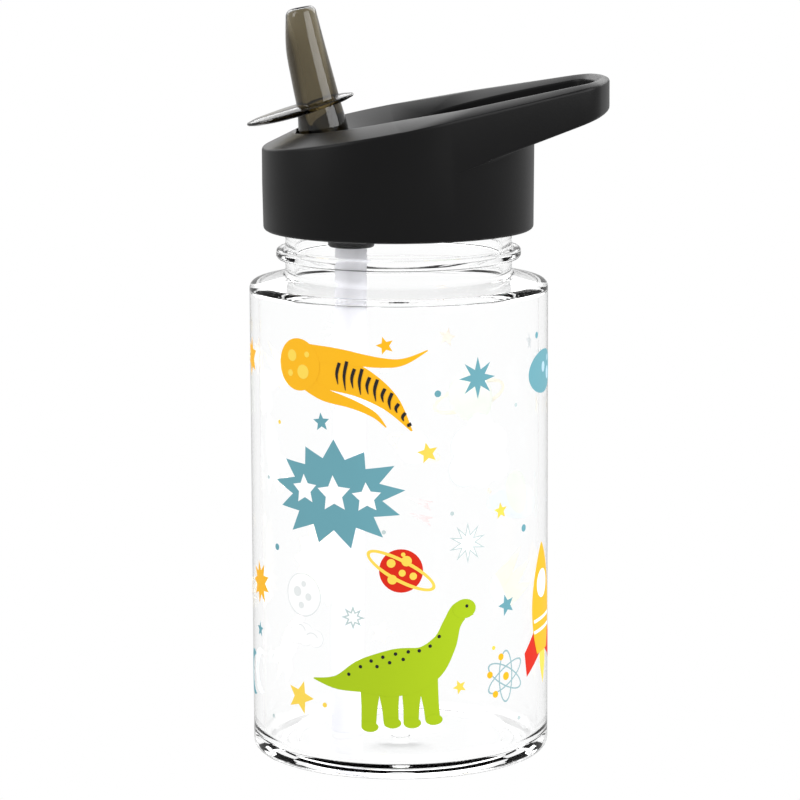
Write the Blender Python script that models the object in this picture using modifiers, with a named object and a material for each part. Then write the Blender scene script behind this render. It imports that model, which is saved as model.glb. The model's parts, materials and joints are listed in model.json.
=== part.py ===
"""Kids water bottle: a clear screw-neck bottle with a black lid, a carry loop,
a folding smoke-tinted spout and a drinking straw.

Metres, +Z up. The origin is on the bottle's axis, in the plane that it stands on.
The spout folds in the XZ plane: open, it leans towards -X, and the carry loop points to +X.
"""

import math

import bmesh
import bpy
from mathutils import Matrix

MM = 0.001

# ---------------------------------------------------------------- clearances
TOUCH_GAP = 0.3 * MM            # between pieces that rest on each other
FACE_STEP = 0.1 * MM            # between two cut faces that would else share a plane
PIVOT_GAP = 0.25 * MM           # round each trunnion
BARREL_GAP = 0.5 * MM           # between the spout's barrel and its pocket, round the pivot
POCKET_SIDE_GAP = 0.4 * MM      # and at each side of it
SEAL_GAP = 0.25 * MM            # between the spout's barrel and its seal
TAB_GAP = 0.5 * MM              # round the tab's rear end in the slot that takes it, folded
THREAD_GAP = 0.3 * MM           # between the two threads' flanks
NECK_GAP = 0.7 * MM             # between the lid's plug and the neck's bore
THREAD_ROOM = 1.8 * MM          # between the neck's wall and the lid's wall, for both threads
OVERRUN = 10.0 * MM             # how far a cutter runs past what it cuts

# ---------------------------------------------------------------- bottle
BODY_RADIUS = 36.0 * MM
BODY_WALL = 2.2 * MM
BODY_HEIGHT = 113.2 * MM        # top of the straight side
FLOOR_THICKNESS = 3.0 * MM
BASE_FILLET = 2.6 * MM
BASE_RECESS = 0.6 * MM
STANDING_RING_WIDTH = 4.0 * MM
SHOULDER_RISE = 3.3 * MM        # from the straight side to the foot of the neck
NECK_RADIUS = 27.2 * MM
NECK_WALL = 2.2 * MM
NECK_HEIGHT = 20.0 * MM         # from the foot of the neck to its rim
BEAD_REACH = 2.2 * MM           # how far the transfer bead stands out from the neck
BEAD_WIDTH = 2.6 * MM
BEAD_RISE = 3.8 * MM            # from the foot of the neck to the bead

# ---------------------------------------------------------------- screw thread
THREAD_PITCH = 4.0 * MM
THREAD_RIDGE = 1.0 * MM         # radius of the rounded ridge
THREAD_TURNS = 1.5
THREAD_BITE = 0.2 * MM          # how far a ridge's centre line stands off its wall
THREAD_END = 0.6 * MM           # from the ridge's upper end to the neck's rim
THREAD_RUN_OUT = 4              # steps over which a ridge sinks into its wall

# ---------------------------------------------------------------- lid
LID_WALL = 3.6 * MM
LID_DRAFT = 0.2 * MM            # the skirt is this much narrower at its lower edge
SKIRT_LIP = 0.5 * MM            # chamfer at the skirt's lower edge
LID_LIFT = 14.1 * MM            # from the straight side's top to the lid's lower edge
LID_SIDE_HEIGHT = 19.7 * MM     # of the skirt, at its lowest, opposite the loop
CROWN_ANGLE = math.radians(10.5)
RIDGE_RISE = 2.3 * MM           # from the outer edge's plane to the ridge, at the front
RIDGE_FALL = 0.012              # the ridge comes down this much for each metre towards the loop
EDGE_CLIMB = 0.014              # and the outer edge comes up this much
RIDGE_INSET = 8.6 * MM          # from the lid's side to the ridge
RIDGE_FORWARD = 1.3 * MM        # the ridge's front arc sits this much towards the spout
RIDGE_LENGTH = 14.3 * MM        # between the centres of the ridge's front and middle arcs
LOOP_REACH = 17.9 * MM          # from the lid's side to the loop's end
LOOP_HALF_WIDTH = 18.2 * MM     # near its end
LOOP_BAND = 7.4 * MM            # height of the band at the tip
LOOP_CORNER = 9.0 * MM          # the loop's outer corner radius
CORNER_FILL = 0.95              # how far a corner's arc swings towards the loop's full width
LOOP_END_RADIUS = 35.0 * MM     # of the loop's gently curved end
LOOP_RIDGE_INSET = 2.5 * MM     # from the loop's outer side to its ridge
LOOP_WELL_INSET = 5.2 * MM      # and to the edge of its opening
TIP_RIDGE_INSET = 1.9 * MM      # from the loop's end to its ridge
TIP_WELL_INSET = 3.5 * MM       # and to the edge of its opening
LOOP_ANGLE = math.radians(18.6)  # slope of the loop's underside
DECK_DROP_FRONT = 6.0 * MM      # from the ridge to the well's edge, near the spout
DECK_DROP_LOOP = 1.15 * MM      # and at the loop's end
WELL_HALF_WIDTH = 18.5 * MM
WELL_START = 7.6 * MM           # from the spout's pivot to the well's front
WELL_FRONT_RADIUS = 15.0 * MM
WELL_LENGTH = 23.0 * MM         # from the well's front to the centre of its middle arc
WELL_CORNER = 4.6 * MM
WELL_FLOOR_ANGLE = math.radians(14.6)
DECK_THICKNESS = 2.6 * MM
GASKET_THICKNESS = 1.5 * MM
PLUG_DEPTH = 4.2 * MM           # how far the lid's plug goes below the gasket's seat
PLUG_WALL = 2.4 * MM
CORE_START = 19.1 * MM          # from the spout's pivot to the hollow under the deck

# ---------------------------------------------------------------- spout
PIVOT_INSET = 16.0 * MM         # from the lid's side to the pivot
PIVOT_RISE = 6.3 * MM           # from the gasket's seat to the pivot
SPOUT_LEAN = math.radians(10.5)
SPOUT_LENGTH = 35.8 * MM        # from the pivot to the lip
BARREL_RADIUS = 6.2 * MM
BARREL_HALF_WIDTH = 6.6 * MM
TIP_HALF_DEPTH = 3.55 * MM      # half of the lip's size in the folding plane
TIP_HALF_WIDTH = 5.2 * MM       # half of it across
SPOUT_BORE = 2.3 * MM
TRUNNION_RADIUS = 2.0 * MM
TRUNNION_REACH = 2.6 * MM
TAB_RISE = 12.2 * MM            # from the pivot to the finger tab
TAB_HALF_LENGTH = 13.3 * MM
TAB_HALF_WIDTH = 9.0 * MM
TAB_OFFSET = -4.6 * MM
TAB_TILT = math.radians(5.4)
TAB_RIM = 0.5 * MM              # half of the tab's thickness at its end

# ---------------------------------------------------------------- straw and its collar
STRAW_RADIUS = 3.85 * MM
STRAW_WALL = 0.8 * MM
STRAW_LEAN = math.radians(0.9)
STRAW_FLOOR_GAP = 0.8 * MM
STRAW_OFFSET = 5.2 * MM         # from the pivot to the straw's line at the collar's lower end
COLLAR_WALL = 1.45 * MM
COLLAR_LENGTH = 11.0 * MM
COLLAR_STOP = 3.0 * MM          # from the collar's top down to the straw's stop
FLANGE_WIDTH = 2.2 * MM
FLANGE_THICKNESS = 1.6 * MM
SOCKET_WALL = 1.5 * MM
SOCKET_ROOT = 0.5 * MM          # how far the socket's ring runs into the plug
SEAL_OFFSET = 3.4 * MM          # from the pivot to the seal's centre line
SEAL_RADIUS = 5.3 * MM
SEAL_BORE = 1.9 * MM

# ---------------------------------------------------------------- air valve
VALVE_X = 12.0 * MM
VALVE_Y = 11.0 * MM
VALVE_STEM = 1.1 * MM
VALVE_HEAD = 3.4 * MM

# ---------------------------------------------------------------- facets
BODY_STEPS = 48
ROUND_STEPS = 24
THREAD_STEPS = 30               # for each turn

# ---------------------------------------------------------------- sizes that follow
NECK_FOOT = BODY_HEIGHT + SHOULDER_RISE
NECK_TOP = NECK_FOOT + NECK_HEIGHT
NECK_BORE = NECK_RADIUS - NECK_WALL
BEAD_RADIUS = NECK_RADIUS + BEAD_REACH
LID_BOTTOM = BODY_HEIGHT + LID_LIFT
LID_EDGE = LID_BOTTOM + LID_SIDE_HEIGHT
LID_BORE = NECK_RADIUS + THREAD_ROOM
LID_RADIUS = LID_BORE + LID_WALL
LOOP_TIP = LID_RADIUS + LOOP_REACH
GASKET_SEAT = NECK_TOP + 2 * TOUCH_GAP + GASKET_THICKNESS
PLUG_BOTTOM = GASKET_SEAT - PLUG_DEPTH
PLUG_RADIUS = NECK_BORE - NECK_GAP
PIVOT_X = PIVOT_INSET - LID_RADIUS
PIVOT_Z = GASKET_SEAT + PIVOT_RISE
WELL_FRONT = PIVOT_X + WELL_START
POCKET_RADIUS = BARREL_RADIUS + BARREL_GAP
POCKET_HALF_WIDTH = BARREL_HALF_WIDTH + POCKET_SIDE_GAP
SEAL_X = PIVOT_X + SEAL_OFFSET
STRAW_X = PIVOT_X + STRAW_OFFSET
STRAW_BORE = STRAW_RADIUS - STRAW_WALL
COLLAR_BORE = STRAW_RADIUS + TOUCH_GAP
COLLAR_RADIUS = COLLAR_BORE + COLLAR_WALL
COLLAR_FLANGE = COLLAR_RADIUS + FLANGE_WIDTH
COLLAR_TOP = PLUG_BOTTOM - 2 * TOUCH_GAP
COLLAR_BOTTOM = COLLAR_TOP - COLLAR_LENGTH
NECK_THREAD_RADIUS = NECK_RADIUS + THREAD_BITE
LID_THREAD_RADIUS = LID_BORE - THREAD_BITE
NECK_THREAD_START = NECK_TOP - THREAD_END - THREAD_RIDGE - THREAD_PITCH * THREAD_TURNS

CLEAR_PLASTIC = ((0.95, 0.96, 0.96), 0.05)
BLACK_PLASTIC = ((0.02, 0.02, 0.022), 0.5)
SMOKE_PLASTIC = ((0.20, 0.18, 0.14), 0.12)
FROSTED_PLASTIC = ((0.84, 0.84, 0.88), 0.35)
CLEAR_SILICONE = ((0.85, 0.85, 0.83), 0.4)


# ================================================================ helpers
def remove_everything():
    for obj in list(bpy.data.objects):
        bpy.data.objects.remove(obj, do_unlink=True)


def make_collection(name):
    collection = bpy.data.collections.new(name)
    bpy.context.scene.collection.children.link(collection)
    return collection


def give_material(obj, finish):
    colour, roughness = finish
    material = bpy.data.materials.new(obj.name)
    material.use_nodes = True
    shader = material.node_tree.nodes["Principled BSDF"]
    shader.inputs["Base Color"].default_value = (*colour, 1.0)
    shader.inputs["Roughness"].default_value = roughness
    shader.inputs["Metallic"].default_value = 0.0
    obj.data.materials.clear()
    obj.data.materials.append(material)
    obj.data.shade_smooth()


def add_mesh(name, bm, collection):
    mesh = bpy.data.meshes.new(name)
    bmesh.ops.recalc_face_normals(bm, faces=bm.faces)
    bm.to_mesh(mesh)
    bm.free()
    obj = bpy.data.objects.new(name, mesh)
    collection.objects.link(obj)
    return obj


def turned(name, profile, collection, steps=BODY_STEPS):
    """Turn a profile of (radius, height) points about +Z. It runs down its outer side."""
    mesh = bpy.data.meshes.new(name)
    ring = all(radius > 0.0 for radius, _ in profile)
    edges = [(i, i + 1) for i in range(len(profile) - 1)]
    if ring:
        edges.append((len(profile) - 1, 0))
    mesh.from_pydata([(radius, 0.0, height) for radius, height in profile], edges, [])
    obj = bpy.data.objects.new(name, mesh)
    collection.objects.link(obj)
    screw = obj.modifiers.new("Turn", "SCREW")
    screw.axis = "Z"
    screw.steps = steps
    screw.render_steps = steps
    screw.use_merge_vertices = True
    screw.merge_threshold = 0.001 * MM
    return obj


def rod(name, radius, start, end, collection, steps=ROUND_STEPS):
    """A round bar between two points on a line along Z in its own frame."""
    bm = bmesh.new()
    bmesh.ops.create_cone(bm, cap_ends=True, segments=steps, radius1=radius, radius2=radius,
                          depth=end - start)
    bmesh.ops.translate(bm, vec=(0.0, 0.0, (start + end) / 2), verts=bm.verts)
    return add_mesh(name, bm, collection)


def loft(name, rings, collection):
    """One closed skin through rings of equal length, capped at both ends."""
    bm = bmesh.new()
    rows = [[bm.verts.new(point) for point in ring] for ring in rings]
    count = len(rings[0])
    for lower, upper in zip(rows, rows[1:]):
        for i in range(count):
            j = (i + 1) % count
            bm.faces.new((lower[i], lower[j], upper[j], upper[i]))
    bm.faces.new(rows[0])
    bm.faces.new(rows[-1])
    bmesh.ops.remove_doubles(bm, verts=bm.verts, dist=0.001 * MM)
    return add_mesh(name, bm, collection)


def side_plate(name, outline, half_width, collection):
    """An outline of (x, z) points, given its thickness along Y on both sides of the XZ plane."""
    curve = bpy.data.curves.new(name, "CURVE")
    curve.dimensions = "2D"
    curve.fill_mode = "BOTH"
    curve.extrude = half_width
    spline = curve.splines.new("POLY")
    spline.points.add(len(outline) - 1)
    for point, (x, z) in zip(spline.points, outline):
        point.co = (x, z, 0.0, 1.0)
    spline.use_cyclic_u = True
    return solid_from_curve(name, curve, Matrix.Rotation(math.pi / 2, 4, "X"), collection)


def solid_from_curve(name, curve, turn, collection):
    """Make a curve a mesh with its caps welded on."""
    guide = bpy.data.objects.new(name + "_guide", curve)
    guide.matrix_world = turn
    collection.objects.link(guide)
    evaluated = guide.evaluated_get(bpy.context.evaluated_depsgraph_get())
    mesh = bpy.data.meshes.new_from_object(evaluated)
    obj = bpy.data.objects.new(name, mesh)
    obj.matrix_world = guide.matrix_world
    collection.objects.link(obj)
    bpy.data.objects.remove(guide, do_unlink=True)
    bm = bmesh.new()
    bm.from_mesh(mesh)
    bmesh.ops.remove_doubles(bm, verts=bm.verts, dist=0.001 * MM)
    bmesh.ops.recalc_face_normals(bm, faces=bm.faces)
    bm.to_mesh(mesh)
    bm.free()
    return obj


def combine(target, other, operation):
    """Cut the other object from the target, or join it on, and keep it as a hidden tool."""
    boolean = target.modifiers.new(other.name, "BOOLEAN")
    boolean.operation = operation
    boolean.solver = "EXACT"
    boolean.object = other
    other.hide_render = True
    other.display_type = "WIRE"


def cut(target, other):
    combine(target, other, "DIFFERENCE")


def join(target, other):
    combine(target, other, "UNION")


def arc(centre, radius, start, end, count):
    """Points on an arc, both ends included, angles in radians."""
    points = []
    for i in range(count + 1):
        angle = start + (end - start) * i / count
        points.append((centre[0] + radius * math.cos(angle), centre[1] + radius * math.sin(angle)))
    return points


def quarter(centre, radius, start_degrees, end_degrees, count=4):
    return arc(centre, radius, math.radians(start_degrees), math.radians(end_degrees), count)


# ================================================================ bottle
def shoulder_profile(inset):
    """The shoulder from the neck's foot down to the straight side, moved inwards by the inset."""
    neck = NECK_RADIUS - inset
    side = BODY_RADIUS - inset
    top = NECK_FOOT - inset * 0.9
    return [
        (neck, top + 1.6 * MM),
        (neck + 0.25 * MM, top + 0.6 * MM),
        (neck + 0.9 * MM, top),
        (neck + (side - neck) * 0.45, top - SHOULDER_RISE * 0.23),
        (neck + (side - neck) * 0.83, top - SHOULDER_RISE * 0.52),
        (side - 0.55 * MM, top - SHOULDER_RISE * 0.72),
        (side, top - SHOULDER_RISE),
    ]


def bottle_profile():
    rim_round = 0.4 * MM
    bead_low = NECK_FOOT + BEAD_RISE
    bead_high = bead_low + BEAD_WIDTH
    floor_round = 4.0 * MM
    inner_radius = BODY_RADIUS - BODY_WALL
    inside = [(0.0, FLOOR_THICKNESS), (inner_radius - floor_round, FLOOR_THICKNESS)]
    inside += quarter((inner_radius - floor_round, FLOOR_THICKNESS + floor_round),
                      floor_round, -60, 0, 3)
    inside += list(reversed(shoulder_profile(BODY_WALL)))
    inside.append((NECK_BORE, NECK_TOP - rim_round))
    outside = [(NECK_BORE + rim_round, NECK_TOP), (NECK_RADIUS - rim_round, NECK_TOP),
               (NECK_RADIUS, NECK_TOP - rim_round), (NECK_RADIUS, bead_high),
               (BEAD_RADIUS - 0.6 * MM, bead_high - 0.2 * MM),
               (BEAD_RADIUS, bead_high - 0.8 * MM), (BEAD_RADIUS, bead_low + 0.8 * MM),
               (BEAD_RADIUS - 0.7 * MM, bead_low + 0.1 * MM), (NECK_RADIUS, bead_low - 0.2 * MM)]
    outside += shoulder_profile(0.0)
    outside += quarter((BODY_RADIUS - BASE_FILLET, BASE_FILLET), BASE_FILLET, 0, -90)
    ring_inner = BODY_RADIUS - BASE_FILLET - STANDING_RING_WIDTH
    outside += [(ring_inner, 0.0), (ring_inner - 2 * BASE_RECESS, BASE_RECESS), (0.0, BASE_RECESS)]
    return inside + outside


def thread_ridge(name, radius, inward, start, turns, collection):
    """A rounded helical ridge that sinks into its wall at both ends."""
    curve = bpy.data.curves.new(name, "CURVE")
    curve.dimensions = "3D"
    curve.bevel_depth = THREAD_RIDGE
    curve.bevel_resolution = 2
    curve.use_fill_caps = True
    count = int(THREAD_STEPS * turns) + 1
    spline = curve.splines.new("POLY")
    spline.points.add(count - 1)
    for i, point in enumerate(spline.points):
        angle = 2 * math.pi * i / THREAD_STEPS
        height = start + THREAD_PITCH * i / THREAD_STEPS
        full = min(1.0, (i + 1) / THREAD_RUN_OUT, (count - i) / THREAD_RUN_OUT)
        sink = inward * 1.1 * THREAD_RIDGE * (1.0 - full)
        reach = radius - sink
        point.co = (reach * math.cos(angle), reach * math.sin(angle), height, 1.0)
        point.radius = 0.4 + 0.6 * full
    return solid_from_curve(name, curve, Matrix.Identity(4), collection)


def make_bottle(parts, tools):
    bottle = turned("bottle_body", bottle_profile(), parts)
    ridge = thread_ridge("neck_thread", NECK_THREAD_RADIUS, 1.0, NECK_THREAD_START,
                         THREAD_TURNS, tools)
    join(bottle, ridge)
    give_material(bottle, CLEAR_PLASTIC)
    return bottle


# ================================================================ lid outlines
def tangent_angle(a, b):
    """Direction of the normal where one line touches circles a and b (x, y, radius) from +Y."""
    dx = b[0] - a[0]
    dy = b[1] - a[1]
    gap = math.hypot(dx, dy)
    if gap < 0.001 * MM:
        return math.pi / 2
    return math.atan2(dy, dx) + math.acos((a[2] - b[2]) / gap)


def half_outline(front, middle, corner_radius, half_width, tip, end_radius):
    """The +Y half of a closed egg outline: front arc, middle arc, side, corner, end arc."""
    end_x = tip - end_radius
    corner_y = half_width - corner_radius * CORNER_FILL
    corner_x = end_x + math.sqrt((end_radius - corner_radius) ** 2 - corner_y ** 2)
    corner = (corner_x, corner_y, corner_radius)
    first = tangent_angle(front, middle)
    side = tangent_angle(middle, corner)
    turn = math.atan2(corner_y, corner_x - end_x)
    points = arc(front, front[2], math.pi, first, 12)
    points += arc(middle, middle[2], first, side, 4)
    here = points[-1]
    there = arc(corner, corner_radius, side, turn, 6)
    for i in range(1, 5):
        share = i / 5
        points.append((here[0] + (there[0][0] - here[0]) * share,
                       here[1] + (there[0][1] - here[1]) * share))
    points += there
    points += arc((end_x, 0.0), end_radius, turn, 0.0, 3)[1:]
    return points


def whole_outline(half):
    """Both halves, without repeating the two points on the centre line."""
    return half + [(x, -y) for x, y in reversed(half[1:-1])]


def outer_outline():
    side = (0.0, 0.0, LID_RADIUS)
    return half_outline(side, side, LOOP_CORNER, LOOP_HALF_WIDTH, LOOP_TIP, LOOP_END_RADIUS)


def ridge_outline():
    radius = LID_RADIUS - RIDGE_INSET
    front = (-RIDGE_FORWARD, 0.0, radius)
    middle = (RIDGE_LENGTH - RIDGE_FORWARD, 0.0, radius)
    return half_outline(front, middle, LOOP_CORNER - 2 * MM, LOOP_HALF_WIDTH - LOOP_RIDGE_INSET,
                        LOOP_TIP - TIP_RIDGE_INSET, LOOP_END_RADIUS - 2 * MM)


def well_outline(inset=0.0):
    front = (WELL_FRONT + WELL_FRONT_RADIUS, 0.0, WELL_FRONT_RADIUS - inset)
    middle = (WELL_FRONT + WELL_LENGTH, 0.0, WELL_HALF_WIDTH - inset)
    return half_outline(front, middle, WELL_CORNER - inset,
                        LOOP_HALF_WIDTH - LOOP_WELL_INSET - inset,
                        LOOP_TIP - TIP_WELL_INSET - inset, LOOP_END_RADIUS - 4 * MM - inset)


# ================================================================ lid heights
def outer_plane(x):
    return LID_EDGE + math.tan(CROWN_ANGLE) * (x + LID_RADIUS)


def edge_height(x):
    return outer_plane(x) + EDGE_CLIMB * max(x, 0.0)


def ridge_height(x):
    return outer_plane(x) + RIDGE_RISE - RIDGE_FALL * max(x, 0.0)


def underside_height(x):
    """The loop's underside, level on the round side where there is no loop."""
    return edge_height(LOOP_TIP) - LOOP_BAND + math.tan(LOOP_ANGLE) * (max(x, 0.0) - LOOP_TIP)


def well_edge_height(x):
    reach = (LOOP_TIP - x) / (LOOP_TIP - WELL_FRONT)
    drop = DECK_DROP_LOOP + (DECK_DROP_FRONT - DECK_DROP_LOOP) * max(reach, 0.0) ** 2.2
    return ridge_height(x) - drop


def floor_height(x):
    """The well's floor, which runs on from the spout's pocket and clears the folded spout."""
    lowest = PIVOT_Z - POCKET_RADIUS / math.cos(WELL_FLOOR_ANGLE)
    return lowest + math.tan(WELL_FLOOR_ANGLE) * (x - PIVOT_X)


def level(outline, height):
    """Raise an outline's points to a height, or to a height that depends on x."""
    if callable(height):
        return [(x, y, height(x)) for x, y in outline]
    return [(x, y, height) for x, y in outline]


# ================================================================ lid
def lid_blank(parts):
    """The lid's outside, as one skin that ends a step inside the well's edge."""
    outer = whole_outline(outer_outline())
    skirt = LID_RADIUS - LID_DRAFT

    def circle(radius):
        """Points on a circle that pair up with the outer outline's points."""
        angles = [math.atan2(y, x) for x, y in outer]
        return [(radius * math.cos(angle), radius * math.sin(angle)) for angle in angles]

    rings = [
        level(circle(skirt - SKIRT_LIP), LID_BOTTOM),
        level(circle(skirt), LID_BOTTOM + SKIRT_LIP),
        level(circle(LID_RADIUS), underside_height),
        level(outer, underside_height),
        level(outer, edge_height),
        level(whole_outline(ridge_outline()), ridge_height),
        level(whole_outline(well_outline(FACE_STEP)), well_edge_height),
    ]
    return loft("lid_shell", rings, parts)


def well_cutter(tools):
    """The open well, whose floor runs on until it leaves the loop's underside."""
    well = whole_outline(well_outline())
    above = level(well, lambda x: outer_plane(x) + RIDGE_RISE + OVERRUN)
    return loft("well", [level(well, floor_height), above], tools)


def underside_cutter(tools):
    """The threaded hollow round the neck, with the plug left standing."""
    below = LID_BOTTOM - OVERRUN
    return turned("lid_hollow", [(0.0, PLUG_BOTTOM), (PLUG_RADIUS, PLUG_BOTTOM),
                                 (PLUG_RADIUS, GASKET_SEAT), (LID_BORE, GASKET_SEAT),
                                 (LID_BORE, below), (0.0, below)], tools)


def deck_core_cutter(tools):
    """Takes the mass out of the deck from below, behind the spout."""
    radius = PLUG_RADIUS - PLUG_WALL
    limit = math.acos((PIVOT_X + CORE_START) / radius)
    outline = arc((0.0, 0.0), radius, -limit, limit, 16)
    top = level(outline, lambda x: floor_height(x) - DECK_THICKNESS)
    bottom = level(outline, PLUG_BOTTOM - OVERRUN)
    return loft("deck_core", [bottom, top], tools)


def crossing(inside, outside, radius):
    """Where the line between two points crosses a circle round the axis."""
    dx = outside[0] - inside[0]
    dy = outside[1] - inside[1]
    a = dx * dx + dy * dy
    b = 2 * (inside[0] * dx + inside[1] * dy)
    c = inside[0] ** 2 + inside[1] ** 2 - radius ** 2
    share = (-b + math.sqrt(b * b - 4 * a * c)) / (2 * a)
    return inside[0] + dx * share, inside[1] + dy * share


def finger_gap_cutter(tools):
    """The space between the lid's round side and the carry loop, a step inside both."""
    radius = LID_RADIUS + FACE_STEP
    well = well_outline(FACE_STEP)
    beyond = [i for i, point in enumerate(well) if math.hypot(*point) > radius and point[0] > 0.0]
    meet = crossing(well[beyond[0] - 1], well[beyond[0]], radius)
    limit = math.atan2(meet[1], meet[0])
    outline = arc((0.0, 0.0), radius, -limit, limit, 12)
    loop_side = [well[i] for i in beyond]
    outline += loop_side + [(x, -y) for x, y in reversed(loop_side[:-1])]
    low = level(outline, LID_BOTTOM)
    high = level(outline, LID_EDGE + 4 * OVERRUN)
    return loft("finger_gap", [low, high], tools)


def pocket_outline(radius, floor_offset, front_gap):
    """Side view of the room that the spout sweeps, from its front wall to the well."""
    top = PIVOT_Z + 2 * OVERRUN
    slope = math.tan(SPOUT_LEAN)
    floor_end = WELL_FRONT + 3 * MM
    low = WELL_FLOOR_ANGLE + 1.5 * math.pi
    points = [(PIVOT_X - radius - front_gap - slope * (top - PIVOT_Z), top)]
    points += arc((PIVOT_X, PIVOT_Z), radius, math.pi, low, 10)
    points.append((floor_end, floor_height(floor_end) + floor_offset))
    points.append((floor_end, top))
    return points


def tab_slot_cutter(tools):
    """Room in the dish's floor for the tab's rear end, which swings down as the spout folds."""
    tip_x = TAB_OFFSET + TAB_HALF_LENGTH * math.cos(TAB_TILT)
    tip_z = TAB_RISE + TAB_HALF_LENGTH * math.sin(TAB_TILT)
    near = math.hypot(BARREL_RADIUS - TAB_GAP, TAB_RISE) - TAB_GAP
    far = math.hypot(tip_x, tip_z + TAB_RIM) + TAB_GAP
    lowest = SPOUT_LEAN - math.atan2(tip_x, tip_z - TAB_RIM) - TAB_GAP / near
    highest = WELL_FLOOR_ANGLE
    pivot = (PIVOT_X, PIVOT_Z)
    outline = arc(pivot, far, lowest, highest, 8) + arc(pivot, near, highest, lowest, 8)
    along = (BARREL_RADIUS - TAB_GAP - TAB_OFFSET) / TAB_HALF_LENGTH
    half_width = TAB_HALF_WIDTH * math.sqrt(1.0 - along ** 2) + TAB_GAP
    return side_plate("tab_slot", outline, half_width, tools)


def place_on_pivot(obj):
    obj.location = (PIVOT_X, 0.0, PIVOT_Z)


def straw_point(height):
    """Where the straw's leaning centre line is at a height."""
    return STRAW_X + math.tan(STRAW_LEAN) * (height - COLLAR_BOTTOM)


def lid_thread(tools):
    """The lid's ridge lies just under the neck's second turn, which holds the lid down."""
    across = LID_THREAD_RADIUS - NECK_THREAD_RADIUS
    flank = 2 * THREAD_RIDGE + THREAD_GAP
    below = math.sqrt(max(flank ** 2 - across ** 2, 0.0))
    start = NECK_THREAD_START + THREAD_PITCH - below
    return thread_ridge("lid_thread", LID_THREAD_RADIUS, -1.0, start, 1.0, tools)


def make_lid(parts, tools):
    lid = lid_blank(parts)
    cut(lid, well_cutter(tools))
    cut(lid, underside_cutter(tools))
    cut(lid, deck_core_cutter(tools))
    cut(lid, finger_gap_cutter(tools))

    pocket = side_plate("spout_pocket", pocket_outline(POCKET_RADIUS, FACE_STEP, 0.3 * MM),
                        POCKET_HALF_WIDTH, tools)
    cut(lid, pocket)
    cut(lid, tab_slot_cutter(tools))

    reach = BARREL_HALF_WIDTH + TRUNNION_REACH + TOUCH_GAP
    bearing = rod("trunnion_bores", TRUNNION_RADIUS + PIVOT_GAP, -reach, reach, tools)
    place_on_pivot(bearing)
    bearing.rotation_euler = (math.pi / 2, 0.0, 0.0)
    cut(lid, bearing)

    chamber = rod("seal_chamber", SEAL_RADIUS + TOUCH_GAP, PLUG_BOTTOM - OVERRUN,
                  PIVOT_Z - BARREL_RADIUS / 2, tools)
    chamber.location = (SEAL_X, 0.0, 0.0)
    cut(lid, chamber)

    socket_inner = COLLAR_FLANGE + TOUCH_GAP
    socket_low = PLUG_BOTTOM - FLANGE_THICKNESS - 2 * TOUCH_GAP
    socket_high = PLUG_BOTTOM + SOCKET_ROOT
    socket_outer = socket_inner + SOCKET_WALL
    socket = turned("collar_socket", [(socket_outer, socket_high), (socket_outer, socket_low),
                                      (socket_inner, socket_low), (socket_inner, socket_high)],
                    tools, ROUND_STEPS)
    socket.location = (straw_point(PLUG_BOTTOM), 0.0, 0.0)
    join(lid, socket)

    valve_hole = rod("valve_hole", VALVE_STEM + TOUCH_GAP, -OVERRUN, OVERRUN / 2, tools, 16)
    valve_hole.location = (VALVE_X, VALVE_Y, floor_height(VALVE_X))
    valve_hole.rotation_euler = (0.0, -WELL_FLOOR_ANGLE, 0.0)
    cut(lid, valve_hole)

    join(lid, lid_thread(tools))
    give_material(lid, BLACK_PLASTIC)
    return lid


# ================================================================ spout
def oval(half_x, half_y, height, shift=0.0, steps=32):
    """An upright section of the spout, moved forwards by the shift."""
    angles = [2 * math.pi * i / steps for i in range(steps)]
    return [(half_x * math.cos(a) - shift, half_y * math.sin(a), height) for a in angles]


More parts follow.
